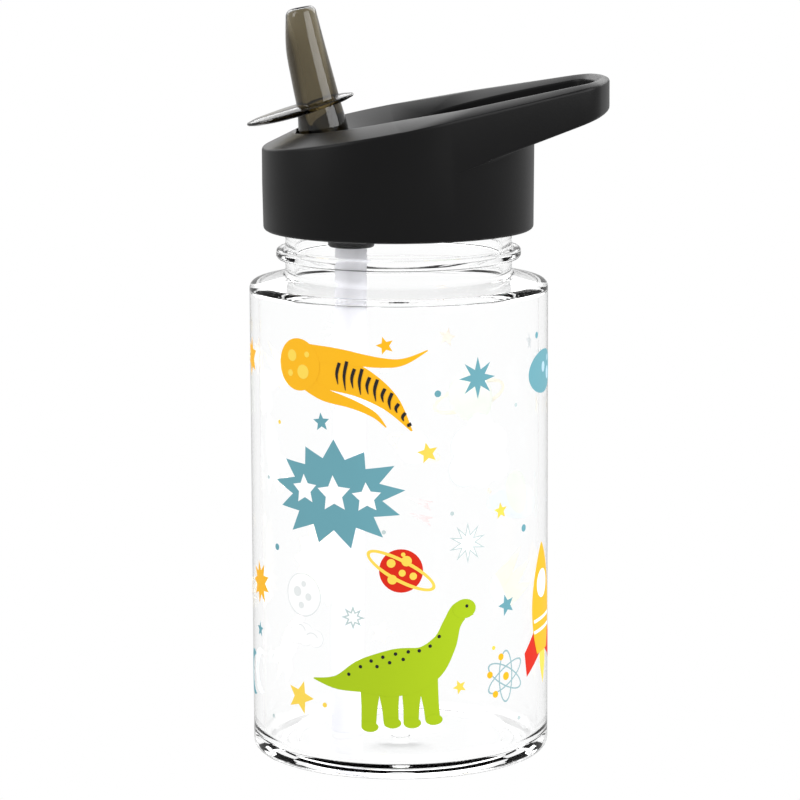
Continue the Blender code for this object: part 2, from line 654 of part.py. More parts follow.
def make_spout(parts, tools):
    """Built upright on its pivot, then leaned forwards as one."""
    shape = [  # half depth, half width, distance from the pivot, shift towards the tab's front
        (BARREL_RADIUS - 0.3 * MM, BARREL_HALF_WIDTH - 0.3 * MM, 0.0, 0.0),
        (BARREL_RADIUS - 0.25 * MM, BARREL_HALF_WIDTH - 0.2 * MM, BARREL_RADIUS, 0.1 * MM),
        (5.3 * MM, 6.0 * MM, TAB_RISE, 0.05 * MM),
        (5.05 * MM, 5.8 * MM, SPOUT_LENGTH * 0.52, 0.3 * MM),
        (4.65 * MM, 5.6 * MM, SPOUT_LENGTH * 0.75, 0.55 * MM),
        (TIP_HALF_DEPTH + 0.1 * MM, TIP_HALF_WIDTH, SPOUT_LENGTH - 1.0 * MM, 0.1 * MM),
        (TIP_HALF_DEPTH - 0.6 * MM, TIP_HALF_WIDTH - 0.6 * MM, SPOUT_LENGTH, 0.0),
    ]
    spout = loft("spout", [oval(*section) for section in shape], parts)

    barrel = rod("barrel", BARREL_RADIUS, -BARREL_HALF_WIDTH, BARREL_HALF_WIDTH, tools, 32)
    trunnion_end = BARREL_HALF_WIDTH + TRUNNION_REACH
    trunnions = rod("trunnions", TRUNNION_RADIUS, -trunnion_end, trunnion_end, tools)
    for bar in (barrel, trunnions):
        bar.rotation_euler = (math.pi / 2, 0.0, 0.0)

    tab = loft("finger_tab", [
        oval(TAB_HALF_LENGTH * 0.58, TAB_HALF_WIDTH * 0.60, -1.30 * MM),
        oval(TAB_HALF_LENGTH * 0.95, TAB_HALF_WIDTH * 0.94, -0.55 * MM),
        oval(TAB_HALF_LENGTH, TAB_HALF_WIDTH, -0.10 * MM),
        oval(TAB_HALF_LENGTH * 0.985, TAB_HALF_WIDTH * 0.98, 0.30 * MM),
        oval(TAB_HALF_LENGTH * 0.60, TAB_HALF_WIDTH * 0.72, 0.90 * MM),
    ], tools)
    tab.location = (TAB_OFFSET, 0.0, TAB_RISE)
    tab.rotation_euler = (0.0, -TAB_TILT, 0.0)

    bore = rod("spout_bore", SPOUT_BORE, -BARREL_RADIUS - OVERRUN, SPOUT_LENGTH + OVERRUN, tools)

    for tool in (barrel, trunnions, tab):
        tool.parent = spout
        join(spout, tool)
    bore.parent = spout
    cut(spout, bore)

    place_on_pivot(spout)
    spout.rotation_euler = (0.0, -SPOUT_LEAN, 0.0)
    give_material(spout, SMOKE_PLASTIC)
    return spout


# ================================================================ pieces inside the lid
def make_gasket(parts):
    low = NECK_TOP + TOUCH_GAP
    high = GASKET_SEAT - TOUCH_GAP
    inner = PLUG_RADIUS + TOUCH_GAP
    outer = LID_BORE - 0.5 * MM
    gasket = turned("lid_gasket", [(outer, high), (outer, low), (inner, low), (inner, high)], parts)
    give_material(gasket, CLEAR_SILICONE)
    return gasket


def make_spout_seal(parts, tools):
    seal = rod("spout_seal", SEAL_RADIUS, PLUG_BOTTOM, PIVOT_Z, parts)
    seal.location = (SEAL_X, 0.0, 0.0)
    saddle = side_plate("seal_saddle", pocket_outline(BARREL_RADIUS + SEAL_GAP, 0.0, 0.0),
                        2 * BARREL_HALF_WIDTH, tools)
    cut(seal, saddle)

    lower = (straw_point(PLUG_BOTTOM), PLUG_BOTTOM)
    upper = (PIVOT_X + BARREL_RADIUS * math.sin(SPOUT_LEAN),
             PIVOT_Z - BARREL_RADIUS * math.cos(SPOUT_LEAN))
    lean = math.atan2(upper[0] - lower[0], upper[1] - lower[1])
    bore = rod("seal_bore", SEAL_BORE, -OVERRUN, OVERRUN, tools, 16)
    bore.location = ((lower[0] + upper[0]) / 2, 0.0, (lower[1] + upper[1]) / 2)
    bore.rotation_euler = (0.0, lean, 0.0)
    cut(seal, bore)
    give_material(seal, CLEAR_SILICONE)
    return seal


def on_straw_line(obj, height):
    obj.location = (straw_point(height), 0.0, height)
    obj.rotation_euler = (0.0, STRAW_LEAN, 0.0)


def make_collar(parts):
    """A sleeve that grips the straw's upper end, with a flange that snaps under the lid."""
    throat = STRAW_BORE - TOUCH_GAP
    stop = COLLAR_LENGTH - COLLAR_STOP
    edge = 0.4 * MM
    collar = turned("straw_collar", [
        (COLLAR_FLANGE, COLLAR_LENGTH), (COLLAR_FLANGE, COLLAR_LENGTH - FLANGE_THICKNESS),
        (COLLAR_RADIUS, COLLAR_LENGTH - FLANGE_THICKNESS), (COLLAR_RADIUS, edge),
        (COLLAR_RADIUS - edge, 0.0), (COLLAR_BORE, 0.0), (COLLAR_BORE, stop), (throat, stop),
        (throat, COLLAR_LENGTH)], parts, 32)
    on_straw_line(collar, COLLAR_BOTTOM)
    give_material(collar, BLACK_PLASTIC)
    return collar


def make_straw(parts):
    low = FLOOR_THICKNESS + STRAW_FLOOR_GAP
    high = COLLAR_TOP - COLLAR_STOP - TOUCH_GAP
    length = (high - low) / math.cos(STRAW_LEAN)
    straw = turned("straw", [(STRAW_RADIUS, length), (STRAW_RADIUS, 0.0), (STRAW_BORE, 0.0),
                             (STRAW_BORE, length)], parts, ROUND_STEPS)
    on_straw_line(straw, low)
    give_material(straw, FROSTED_PLASTIC)
    return straw


def make_valve(parts):
    """A mushroom valve: its head seals the deck's inside, its stem passes through the deck."""
    head_top = -DECK_THICKNESS * math.cos(WELL_FLOOR_ANGLE) - TOUCH_GAP
    knob = VALVE_STEM + 0.8 * MM
    valve = turned("vent_valve", [
        (0.0, 1.8 * MM), (VALVE_STEM, 1.6 * MM), (knob, TOUCH_GAP + 0.3 * MM), (knob, TOUCH_GAP),
        (VALVE_STEM, TOUCH_GAP), (VALVE_STEM, head_top), (VALVE_HEAD, head_top),
        (VALVE_HEAD, head_top - 0.5 * MM), (VALVE_STEM, head_top - 1.0 * MM),
        (0.0, head_top - 1.0 * MM)], parts, 20)
    valve.location = (VALVE_X, VALVE_Y, floor_height(VALVE_X))
    valve.rotation_euler = (0.0, -WELL_FLOOR_ANGLE, 0.0)
    give_material(valve, CLEAR_SILICONE)
    return valve


def main():
    remove_everything()
    parts = make_collection("kids_water_bottle")
    tools = make_collection("cutters")
    make_bottle(parts, tools)
    make_gasket(parts)
    make_lid(parts, tools)
    make_spout(parts, tools)
    make_spout_seal(parts, tools)
    make_collar(parts)
    make_straw(parts)
    make_valve(parts)


main()
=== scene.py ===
"""Kids water bottle: clear bottle with printed shapes, black screw lid with a carry loop,
smoke-tinted folding spout and straw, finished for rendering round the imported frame.

Sizes in the code are millimetres, turned to metres where a mesh is made.
"""

import json
import math
import random

import bmesh
import bpy
from bpy.props import FloatProperty, FloatVectorProperty, IntProperty, PointerProperty
from mathutils import Matrix, Vector


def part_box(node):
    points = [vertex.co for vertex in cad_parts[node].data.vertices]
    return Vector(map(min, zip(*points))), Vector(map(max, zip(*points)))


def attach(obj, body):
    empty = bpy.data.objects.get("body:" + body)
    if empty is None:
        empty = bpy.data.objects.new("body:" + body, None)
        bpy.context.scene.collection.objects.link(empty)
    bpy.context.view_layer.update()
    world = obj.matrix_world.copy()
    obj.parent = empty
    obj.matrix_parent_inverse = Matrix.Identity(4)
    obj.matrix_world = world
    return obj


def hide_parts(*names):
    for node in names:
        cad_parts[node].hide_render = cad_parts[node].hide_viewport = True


bl_info = {
    "name": "Kids Water Bottle",
    "version": (1, 0, 0),
    "blender": (4, 5, 0),
    "location": "View3D > Sidebar > Bottle",
    "description": "Builds the finished pieces of a kids water bottle round its frame",
    "category": "Object",
}

MM = 0.001

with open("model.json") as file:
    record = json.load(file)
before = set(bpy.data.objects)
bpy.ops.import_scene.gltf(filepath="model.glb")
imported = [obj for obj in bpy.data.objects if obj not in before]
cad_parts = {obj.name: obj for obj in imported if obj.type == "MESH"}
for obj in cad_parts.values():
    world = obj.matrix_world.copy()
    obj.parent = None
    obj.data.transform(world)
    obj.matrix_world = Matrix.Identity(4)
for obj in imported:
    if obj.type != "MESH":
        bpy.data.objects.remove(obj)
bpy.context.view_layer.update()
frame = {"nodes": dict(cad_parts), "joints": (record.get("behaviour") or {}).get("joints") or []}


# ================================================================ sizes read from the frame
def low(node):
    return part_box(node)[0] / MM


def high(node):
    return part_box(node)[1] / MM


def joint(name):
    return next(j for j in frame["joints"] if j["name"] == name)


BODY_RADIUS = high("bottle_body").x
NECK_TOP = high("bottle_body").z
LID_BOTTOM = low("lid_shell").z
LOOP_TIP = high("lid_shell").x
LID_RADIUS = -low("lid_shell").x
GASKET_LOW = low("lid_gasket").z
GASKET_HIGH = high("lid_gasket").z
GASKET_OUTER = high("lid_gasket").x
PIVOT = Vector(joint("spout_hinge")["pos_m"]) / MM

TOUCH_GAP = 0.3
GASKET_SEAT = GASKET_HIGH + TOUCH_GAP
FLOOR_THICKNESS = 3.0
WALL = 2.2
NECK_RADIUS = 27.2
NECK_THREAD_TURNS = 1.5
LID_THREAD_TURNS = 1.0
THREAD_PITCH = 4.0
THREAD_RIDGE = 1.0
THREAD_BITE = 0.2
NECK_THREAD_START = NECK_TOP - 0.6 - THREAD_RIDGE - NECK_THREAD_TURNS * THREAD_PITCH
SPOUT_LENGTH = 35.8
SPOUT_LEAN = math.radians(10.5)
BARREL_RADIUS = 6.2
BARREL_HALF_WIDTH = 6.6
TAB_RISE = 12.2
TAB_OFFSET = -4.6
TAB_HALF_LENGTH = 13.3
TAB_HALF_WIDTH = 9.0
TAB_TILT = math.radians(5.4)
TRUNNION_LENGTH = 2.6
TRUNNION_RADIUS = 2.0
TRUNNION_BORE = 2.25
STRAW_RADIUS = 3.85
STRAW_LEAN = math.radians(0.9)
COLLAR_LENGTH = 11.0
DECK_THICKNESS = 2.6
INK_LIFT = 0.012         # from the plastic to the printed film, and between two films
INK_THICKNESS = 0.018
INK_LAYERS = 4
PRINTED_RADIUS = BODY_RADIUS - INK_LAYERS * (INK_LIFT + INK_THICKNESS)


# ================================================================ settings
def number(name, text, value):
    return FloatProperty(name=name, description=text, default=value)


def paint(name, text, value):
    return FloatVectorProperty(name=name, description=text, subtype="COLOR", size=3, default=value)


class BottleSettings(bpy.types.PropertyGroup):
    steps: IntProperty(name="Facets", description="Facets round the bottle", default=160, min=24)
    shoulder_round: number("Shoulder Round", "Radius of the shoulder's outer edge, in mm", 1.7)
    tint: paint("Tint", "Colour of the clear plastic", (0.996, 0.998, 0.998))


class LidSettings(bpy.types.PropertyGroup):
    edge_round: number("Edge Round", "Radius of the lid's moulded edges, in mm", 0.7)
    colour: paint("Colour", "Colour of the lid's plastic", (0.0035, 0.0035, 0.0037))


class SpoutSettings(bpy.types.PropertyGroup):
    bore: number("Bore", "Radius of the drinking bore, in mm", 2.3)
    tint: paint("Tint", "Colour of the smoked plastic's surface", (0.93, 0.92, 0.90))
    smoke: paint("Smoke", "Colour that deepens with thickness", (0.47, 0.42, 0.27))
    depth: number("Smoke Density", "How strongly the smoke deepens, per metre", 600.0)


class StrawSettings(bpy.types.PropertyGroup):
    wall: number("Wall", "Thickness of the straw's wall, in mm", 0.8)
    colour: paint("Colour", "Colour of the frosted straw", (0.83, 0.83, 0.86))


class PrintSettings(bpy.types.PropertyGroup):
    orange: paint("Orange", "Orange ink", (0.90, 0.46, 0.012))
    teal: paint("Teal", "Teal ink", (0.137, 0.347, 0.408))
    yellow: paint("Yellow", "Yellow ink", (0.91, 0.65, 0.09))
    green: paint("Green", "Green ink", (0.385, 0.548, 0.010))
    red: paint("Red", "Red ink", (0.66, 0.022, 0.008))
    white: paint("White", "White ink", (0.97, 0.97, 0.97))
    grey: paint("Grey", "Pale grey ink of the thin lines", (0.50, 0.60, 0.60))
    dark: paint("Dark", "Dark ink of the stripes and spots", (0.02, 0.02, 0.022))
    sage: paint("Sage", "Pale green ink", (0.52, 0.66, 0.36))
    sky: paint("Sky", "Pale blue ink", (0.42, 0.62, 0.72))
    mist: paint("Mist", "Palest grey ink, of the clouds' edges", (0.76, 0.79, 0.79))
    line: paint("Line", "Blue-grey ink of the orbit mark", (0.30, 0.45, 0.48))


class StageSettings(bpy.types.PropertyGroup):
    distance: number("Distance", "From the camera to its target, in m", 0.95)
    elevation: number("Elevation", "Camera's height angle, in degrees", 9.299)
    roll: number("Roll", "Camera's roll, in degrees", -0.262)
    lens: number("Lens", "Camera's focal length, in mm", 176.85)
    target_side: number("Target Side", "How far beside the axis the camera looks, in m", 0.00018)
    target_height: number("Target Height", "Height that the camera looks at, in m", 0.085492)
    world: number("Backdrop", "Brightness of the backdrop", 1.0)
    gloss: number("Gloss", "Share of it that glossy surfaces mirror", 0.60)
    fill: number("Fill", "Share of it that lights matt surfaces", 0.80)


# ================================================================ mesh helpers
def new_object(name, bm, materials, smooth_angle=35.0):
    """Finish a mesh drawn in millimetres: weld, turn outwards, scale, shade smooth."""
    bmesh.ops.remove_doubles(bm, verts=bm.verts, dist=0.0005)
    bmesh.ops.recalc_face_normals(bm, faces=bm.faces)
    bmesh.ops.scale(bm, vec=(MM, MM, MM), verts=bm.verts)
    mesh = bpy.data.meshes.new(name)
    bm.to_mesh(mesh)
    bm.free()
    for material in materials:
        mesh.materials.append(material)
    mesh.shade_smooth()
    if smooth_angle:
        mesh.set_sharp_from_angle(angle=math.radians(smooth_angle))
    obj = bpy.data.objects.new(name, mesh)
    bpy.context.scene.collection.objects.link(obj)
    return obj


def skin(rings, capped=True, closed=False):
    """A bmesh skin through rings of equal length, with caps, or closed on itself."""
    bm = bmesh.new()
    rows = [[bm.verts.new(point) for point in ring] for ring in rings]
    count = len(rings[0])
    pairs = list(zip(rows, rows[1:]))
    if closed:
        pairs.append((rows[-1], rows[0]))
    for first, second in pairs:
        for i in range(count):
            j = (i + 1) % count
            bm.faces.new((first[i], first[j], second[j], second[i]))
    if capped and not closed:
        bm.faces.new(rows[0])
        bm.faces.new(rows[-1])
    bmesh.ops.dissolve_degenerate(bm, dist=0.0005, edges=bm.edges)
    return bm


def rounding(before, corner, after, radius, steps):
    """Points of the arc that rounds a corner of a 3D or 2D line, as many where it is tiny."""
    corner = Vector(corner)
    back = Vector(before) - corner
    ahead = Vector(after) - corner
    if min(back.length, ahead.length) < 0.002 or radius <= 0.0:
        return [corner.copy() for _ in range(steps + 1)]
    half = back.angle(ahead) / 2
    if half > math.radians(88.5):
        return [corner.copy() for _ in range(steps + 1)]
    reach = min(radius / math.tan(half), 0.46 * back.length, 0.46 * ahead.length)
    start = corner + back.normalized() * reach
    end = corner + ahead.normalized() * reach
    middle = (back.normalized() + ahead.normalized()).normalized()
    centre = corner + middle * (reach / math.cos(half))
    turn = math.pi - 2 * half
    points = []
    for i in range(steps + 1):
        share = i / steps
        first = math.sin((1 - share) * turn) / math.sin(turn)
        second = math.sin(share * turn) / math.sin(turn)
        points.append(centre + (start - centre) * first + (end - centre) * second)
    return points


def rounded(corners, steps=5, closed=True):
    """A line through (r, z, radius) corners with each corner rounded by its radius."""
    points = []
    count = len(corners)
    for i, (r, z, radius) in enumerate(corners):
        if radius <= 0.0 or (not closed and i in (0, count - 1)):
            points.append((r, z))
            continue
        before = corners[i - 1][:2]
        after = corners[(i + 1) % count][:2]
        points += [tuple(p) for p in rounding(before, (r, z), after, radius, steps)]
    return points


def lathe(profile, steps, closed=True, centre=(0.0, 0.0), bulge=None):
    """Turn an (r, z) line about the upright through the centre; bulge adds to r by place."""
    rings = []
    for r, z in profile:
        ring = []
        for i in range(steps):
            angle = 2 * math.pi * i / steps
            reach = r + (bulge(r, z, angle) if bulge else 0.0)
            ring.append((centre[0] + reach * math.cos(angle),
                         centre[1] + reach * math.sin(angle), z))
        rings.append(ring)
    return skin(rings, capped=False, closed=closed)


def arc(centre, radius, start, end, count):
    angles = [start + (end - start) * i / count for i in range(count + 1)]
    return [(centre[0] + radius * math.cos(a), centre[1] + radius * math.sin(a)) for a in angles]


def tool(name, bm):
    """A cutting or joining shape, removed once it has been used."""
    return new_object(name, bm, [], smooth_angle=0.0)


def apply_boolean(target, other, operation):
    """Cut or join one shape at once, then remove it."""
    modifier = target.modifiers.new("shape", "BOOLEAN")
    modifier.operation = operation
    modifier.solver = "EXACT"
    modifier.object = other
    bpy.context.view_layer.update()
    graph = bpy.context.evaluated_depsgraph_get()
    mesh = bpy.data.meshes.new_from_object(target.evaluated_get(graph))
    old = target.data
    target.modifiers.clear()
    target.data = mesh
    bpy.data.meshes.remove(old)
    bpy.data.objects.remove(other, do_unlink=True)


def cut(target, other):
    apply_boolean(target, other, "DIFFERENCE")


def join(target, other):
    apply_boolean(target, other, "UNION")


def reshade(obj, angle=32.0):
    obj.data.shade_smooth()
    obj.data.set_sharp_from_angle(angle=math.radians(angle))


# ================================================================ shader helpers
def add_node(tree, kind, **inputs):
    node = tree.nodes.new(kind)
    for name, value in inputs.items():
        node.inputs[name.replace("_", " ")].default_value = value
    return node


def link(tree, source, target):
    tree.links.new(source, target)


def math_node(tree, operation, *values):
    """The output of a Math node fed by sockets or plain numbers."""
    node = tree.nodes.new("ShaderNodeMath")
    node.operation = operation
    for socket, value in zip(node.inputs, values):
        if isinstance(value, float):
            socket.default_value = value
        else:
            link(tree, value, socket)
    return node.outputs[0]


def new_group(name, inputs, outputs):
    group = bpy.data.node_groups.new(name, "ShaderNodeTree")
    for socket_name, kind, default in inputs:
        socket = group.interface.new_socket(socket_name, in_out="INPUT", socket_type=kind)
        socket.default_value = default
    for socket_name, kind in outputs:
        group.interface.new_socket(socket_name, in_out="OUTPUT", socket_type=kind)
    return group, group.nodes.new("NodeGroupInput"), group.nodes.new("NodeGroupOutput")


def moulded_group():
    """Fine moulded grain: roughness that varies, a height for bump and a slight colour shift."""
    name = "moulded_grain"
    if name in bpy.data.node_groups:
        return bpy.data.node_groups[name]
    group, given, out = new_group(
        name,
        [("Grain Size", "NodeSocketFloat", 4000.0), ("Roughness", "NodeSocketFloat", 0.4),
         ("Spread", "NodeSocketFloat", 0.1), ("Color", "NodeSocketColor", (0.5, 0.5, 0.5, 1.0)),
         ("Mottle", "NodeSocketFloat", 0.05)],
        [("Color", "NodeSocketColor"), ("Roughness", "NodeSocketFloat"),
         ("Height", "NodeSocketFloat")])
    place = group.nodes.new("ShaderNodeTexCoord")
    grain = add_node(group, "ShaderNodeTexNoise", Detail=2.0, Roughness=0.6)
    link(group, place.outputs["Object"], grain.inputs["Vector"])
    link(group, given.outputs["Grain Size"], grain.inputs["Scale"])
    cloud = add_node(group, "ShaderNodeTexNoise", Scale=70.0, Detail=4.0, Roughness=0.6)
    link(group, place.outputs["Object"], cloud.inputs["Vector"])
    shift = math_node(group, "SUBTRACT", cloud.outputs["Fac"], 0.5)
    rough = math_node(group, "MULTIPLY_ADD", shift, given.outputs["Spread"],
                      given.outputs["Roughness"])
    link(group, rough, out.inputs["Roughness"])
    link(group, grain.outputs["Fac"], out.inputs["Height"])
    tone = add_node(group, "ShaderNodeHueSaturation")
    link(group, given.outputs["Color"], tone.inputs["Color"])
    strength = math_node(group, "MULTIPLY_ADD", shift, given.outputs["Mottle"], 1.0)
    link(group, strength, tone.inputs["Value"])
    link(group, tone.outputs["Color"], out.inputs["Color"])
    return group


def plastic(name, colour, roughness, spread=0.1, mottle=0.1, grain=4000.0, bump=0.0,
            specular=0.5, transmission=0.0, ior=1.5, clear_to_lamps=False, subsurface=0.0):
    """A moulded plastic, rubber or ink: one Principled shader fed by the grain group."""
    if name in bpy.data.materials:
        return bpy.data.materials[name]
    material = bpy.data.materials.new(name)
    material.use_nodes = True
    tree = material.node_tree
    tree.nodes.clear()
    output = tree.nodes.new("ShaderNodeOutputMaterial")
    shader = tree.nodes.new("ShaderNodeBsdfPrincipled")
    shader.inputs["IOR"].default_value = ior
    shader.inputs["Specular IOR Level"].default_value = specular
    shader.inputs["Transmission Weight"].default_value = transmission
    shader.inputs["Subsurface Weight"].default_value = subsurface
    shader.inputs["Subsurface Scale"].default_value = MM
    shader.inputs["Metallic"].default_value = 0.0
    group = tree.nodes.new("ShaderNodeGroup")
    group.node_tree = moulded_group()
    group.inputs["Color"].default_value = (*colour, 1.0)
    group.inputs["Roughness"].default_value = roughness
    group.inputs["Spread"].default_value = spread
    group.inputs["Mottle"].default_value = mottle
    group.inputs["Grain Size"].default_value = grain
    link(tree, group.outputs["Color"], shader.inputs["Base Color"])
    link(tree, group.outputs["Roughness"], shader.inputs["Roughness"])
    if bump:
        relief = add_node(tree, "ShaderNodeBump", Strength=bump, Distance=0.05 * MM)
        link(tree, group.outputs["Height"], relief.inputs["Height"])
        link(tree, relief.outputs["Normal"], shader.inputs["Normal"])
    surface = shader.outputs["BSDF"]
    if clear_to_lamps:
        path = tree.nodes.new("ShaderNodeLightPath")
        clear = tree.nodes.new("ShaderNodeBsdfTransparent")
        clear.inputs["Color"].default_value = (*[0.5 + 0.5 * c for c in colour], 1.0)
        mix = tree.nodes.new("ShaderNodeMixShader")
        link(tree, path.outputs["Is Shadow Ray"], mix.inputs["Fac"])
        link(tree, surface, mix.inputs[1])
        link(tree, clear.outputs["BSDF"], mix.inputs[2])
        surface = mix.outputs["Shader"]
    link(tree, surface, output.inputs["Surface"])
    return material


def clear_plastic(scene):
    return plastic("clear_plastic", scene.bottle_body_settings.tint, 0.015, spread=0.02,
                   mottle=0.0, transmission=1.0, ior=1.2, clear_to_lamps=True)


def black_plastic(scene):
    return plastic("black_plastic", scene.bottle_lid_settings.colour, 0.36, spread=0.10,
                   mottle=0.3, grain=2600.0, bump=0.25, specular=0.16)


def smoked_plastic(scene):
    settings = scene.bottle_spout_settings
    material = plastic("smoked_plastic", settings.tint, 0.03, spread=0.03, mottle=0.02,
                       transmission=1.0, ior=1.5, clear_to_lamps=True)
    tree = material.node_tree
    depth = add_node(tree, "ShaderNodeVolumeAbsorption", Density=settings.depth)
    depth.inputs["Color"].default_value = (*settings.smoke, 1.0)
    link(tree, depth.outputs["Volume"], tree.nodes["Material Output"].inputs["Volume"])
    return material


def frosted_plastic(scene):
    return plastic("frosted_plastic", scene.bottle_straw_settings.colour, 0.45, spread=0.1,
                   mottle=0.04, grain=1800.0, bump=0.1, transmission=0.35, ior=1.4,
                   clear_to_lamps=True)


def milky_silicone(scene):
    return plastic("milky_silicone", (0.78, 0.78, 0.76), 0.5, spread=0.1, mottle=0.05,
                   grain=1500.0, bump=0.2, subsurface=0.3)


# ================================================================ bottle
def helix_bulge(start, turns, inner_radius, fade=0.35):
    """How far the rounded screw ridge stands off the wall at a height and angle."""
    def bulge(r, z, angle):
        if abs(r - inner_radius) > 0.01:
            return 0.0
        best = 0.0
        for turn in range(math.ceil(turns) + 1):
            along = turn + angle / (2 * math.pi)
            if not 0.0 <= along <= turns:
                continue
            away = abs(z - start - THREAD_PITCH * along)
            if away < THREAD_RIDGE:
                ends = min(1.0, along / fade * 2, (turns - along) / fade * 2)
                full = THREAD_BITE + math.sqrt(THREAD_RIDGE ** 2 - away ** 2)
                best = max(best, full * max(ends, 0.0))
        return best
    return bulge


def bottle_profile(settings):
    side = PRINTED_RADIUS
    neck = NECK_RADIUS
    neck_bore = neck - WALL
    bead_low, bead_high, bead = NECK_TOP - 16.2, NECK_TOP - 13.6, neck + 2.2
    shoulder = NECK_TOP - 21.9
    foot = NECK_TOP - 19.8
    recess = 0.6
    inside_corners = [
        (0.0, FLOOR_THICKNESS + 0.25, 0.0), (side - WALL - 8.0, FLOOR_THICKNESS, 9.0),
        (side - WALL, FLOOR_THICKNESS, 4.4), (side - WALL, shoulder - WALL * 0.9, 1.4),
        (neck_bore, foot - WALL * 0.9, 1.0), (neck_bore, NECK_TOP, 0.5)]
    thread_low = NECK_THREAD_START - THREAD_RIDGE - 0.1
    outside_corners = [
        (neck, NECK_TOP, 0.4), (neck, thread_low, 0.0), (neck, bead_high, 0.4),
        (bead, bead_high - 0.15, 0.9), (bead, bead_low + 0.1, 0.9), (neck, bead_low, 0.5),
        (neck, foot, 1.4), (side, shoulder, settings.shoulder_round), (side, 0.0, 2.6),
        (side - 2.6 - 4.0, 0.0, 0.8), (side - 2.6 - 4.0 - 1.6, recess, 0.8),
        (25.2, recess, 0.2), (24.8, recess + 0.25, 0.2), (2.2, recess + 0.1, 0.2),
        (1.9, recess - 0.35, 0.2), (0.0, recess - 0.4, 0.0)]
    corners = inside_corners + outside_corners
    profile = rounded(corners, steps=6, closed=False)
    finer = []
    for (r, z), (next_r, next_z) in zip(profile, profile[1:]):
        finer.append((r, z))
        if abs(r - neck) < 0.01 and abs(next_r - neck) < 0.01 and z - next_z > 3.0 and z > thread_low:
            count = int((z - next_z) / 0.22)
            finer += [(neck, z + (next_z - z) * i / count) for i in range(1, count)]
    finer.append(profile[-1])
    return finer


class BOTTLE_OT_body(bpy.types.Operator):
    """Build the clear bottle with its shoulder, transfer bead, screw thread and base"""
    bl_idname = "bottle.body"
    bl_label = "Clear Bottle"

    def execute(self, context):
        settings = context.scene.bottle_body_settings
        bulge = helix_bulge(NECK_THREAD_START, NECK_THREAD_TURNS, NECK_RADIUS)
        bm = lathe(bottle_profile(settings), settings.steps, closed=False, bulge=bulge)
        bottle = new_object("clear_bottle", bm, [clear_plastic(context.scene)], 40.0)
        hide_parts("bottle_body")
        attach(bottle, "bottle")
        return {"FINISHED"}


# ================================================================ lid
CROWN = math.tan(math.radians(10.5))
LID_EDGE = LID_BOTTOM + 19.7
WELL_ANGLE = math.radians(14.6)
POCKET_RADIUS = 6.7
POCKET_HALF_WIDTH = 7.0
LOOP_HALF_WIDTH = 18.2
WELL_FRONT = PIVOT.x + 7.6
PLUG_BOTTOM = GASKET_SEAT - 4.2
PLUG_RADIUS = NECK_RADIUS - WALL - 0.7
COLLAR_LOW = PLUG_BOTTOM - 2 * TOUCH_GAP - COLLAR_LENGTH
LID_BORE = NECK_RADIUS + 1.8


def tangent_angle(a, b):
    """Direction of the normal where one line touches circles a and b (x, y, radius)."""
    dx = b[0] - a[0]
    dy = b[1] - a[1]
    gap = math.hypot(dx, dy)
    if gap < 0.001:
        return math.pi / 2
    return math.atan2(dy, dx) + math.acos((a[2] - b[2]) / gap)


def egg_outline(front, middle, corner_radius, half_width, tip, end_radius):
    """A closed outline: front arc, middle arc, straight side, corner, gently curved end."""
    end_x = tip - end_radius
    corner_y = half_width - corner_radius * 0.95
    corner_x = end_x + math.sqrt((end_radius - corner_radius) ** 2 - corner_y ** 2)
    corner = (corner_x, corner_y, corner_radius)
    first = tangent_angle(front, middle)
    side = tangent_angle(middle, corner)
    turn = math.atan2(corner_y, corner_x - end_x)
    points = arc(front, front[2], math.pi, first, 44)
    points += arc(middle, middle[2], first, side, 14)[1:]
    here = points[-1]
    there = arc(corner, corner_radius, side, turn, 16)
    for i in range(1, 16):
        share = i / 16
        points.append((here[0] + (there[0][0] - here[0]) * share,
                       here[1] + (there[0][1] - here[1]) * share))
    points += there
    points += arc((end_x, 0.0), end_radius, turn, 0.0, 10)[1:]
    return points


def both_halves(half):
    return half + [(x, -y) for x, y in reversed(half[1:-1])]


def outer_half():
    side = (0.0, 0.0, LID_RADIUS)
    return egg_outline(side, side, 9.0, LOOP_HALF_WIDTH, LOOP_TIP, 35.0)


def ridge_half():
    radius = LID_RADIUS - 8.6
    return egg_outline((-1.3, 0.0, radius), (13.0, 0.0, radius), 7.0, LOOP_HALF_WIDTH - 2.5,
                       LOOP_TIP - 1.9, 33.0)


def well_half():
    return egg_outline((WELL_FRONT + 15.0, 0.0, 15.0), (WELL_FRONT + 23.0, 0.0, 18.5), 4.6,
                       LOOP_HALF_WIDTH - 5.2, LOOP_TIP - 3.5, 31.0)


def outer_plane(x):
    return LID_EDGE + CROWN * (x + LID_RADIUS)


def edge_height(x):
    return outer_plane(x) + 0.014 * max(x, 0.0)


def ridge_height(x):
    return outer_plane(x) + 2.3 - 0.012 * max(x, 0.0)


def underside_height(x):
    return edge_height(LOOP_TIP) - 7.4 + math.tan(math.radians(18.6)) * (max(x, 0.0) - LOOP_TIP)


def well_edge_height(x):
    reach = max((LOOP_TIP - x) / (LOOP_TIP - WELL_FRONT), 0.0)
    return ridge_height(x) - 1.15 - 4.85 * reach ** 2.2


def floor_height(x):
    return PIVOT.z - POCKET_RADIUS / math.cos(WELL_ANGLE) + math.tan(WELL_ANGLE) * (x - PIVOT.x)


def level(outline, height):
    return [(x, y, height(x) if callable(height) else height) for x, y in outline]


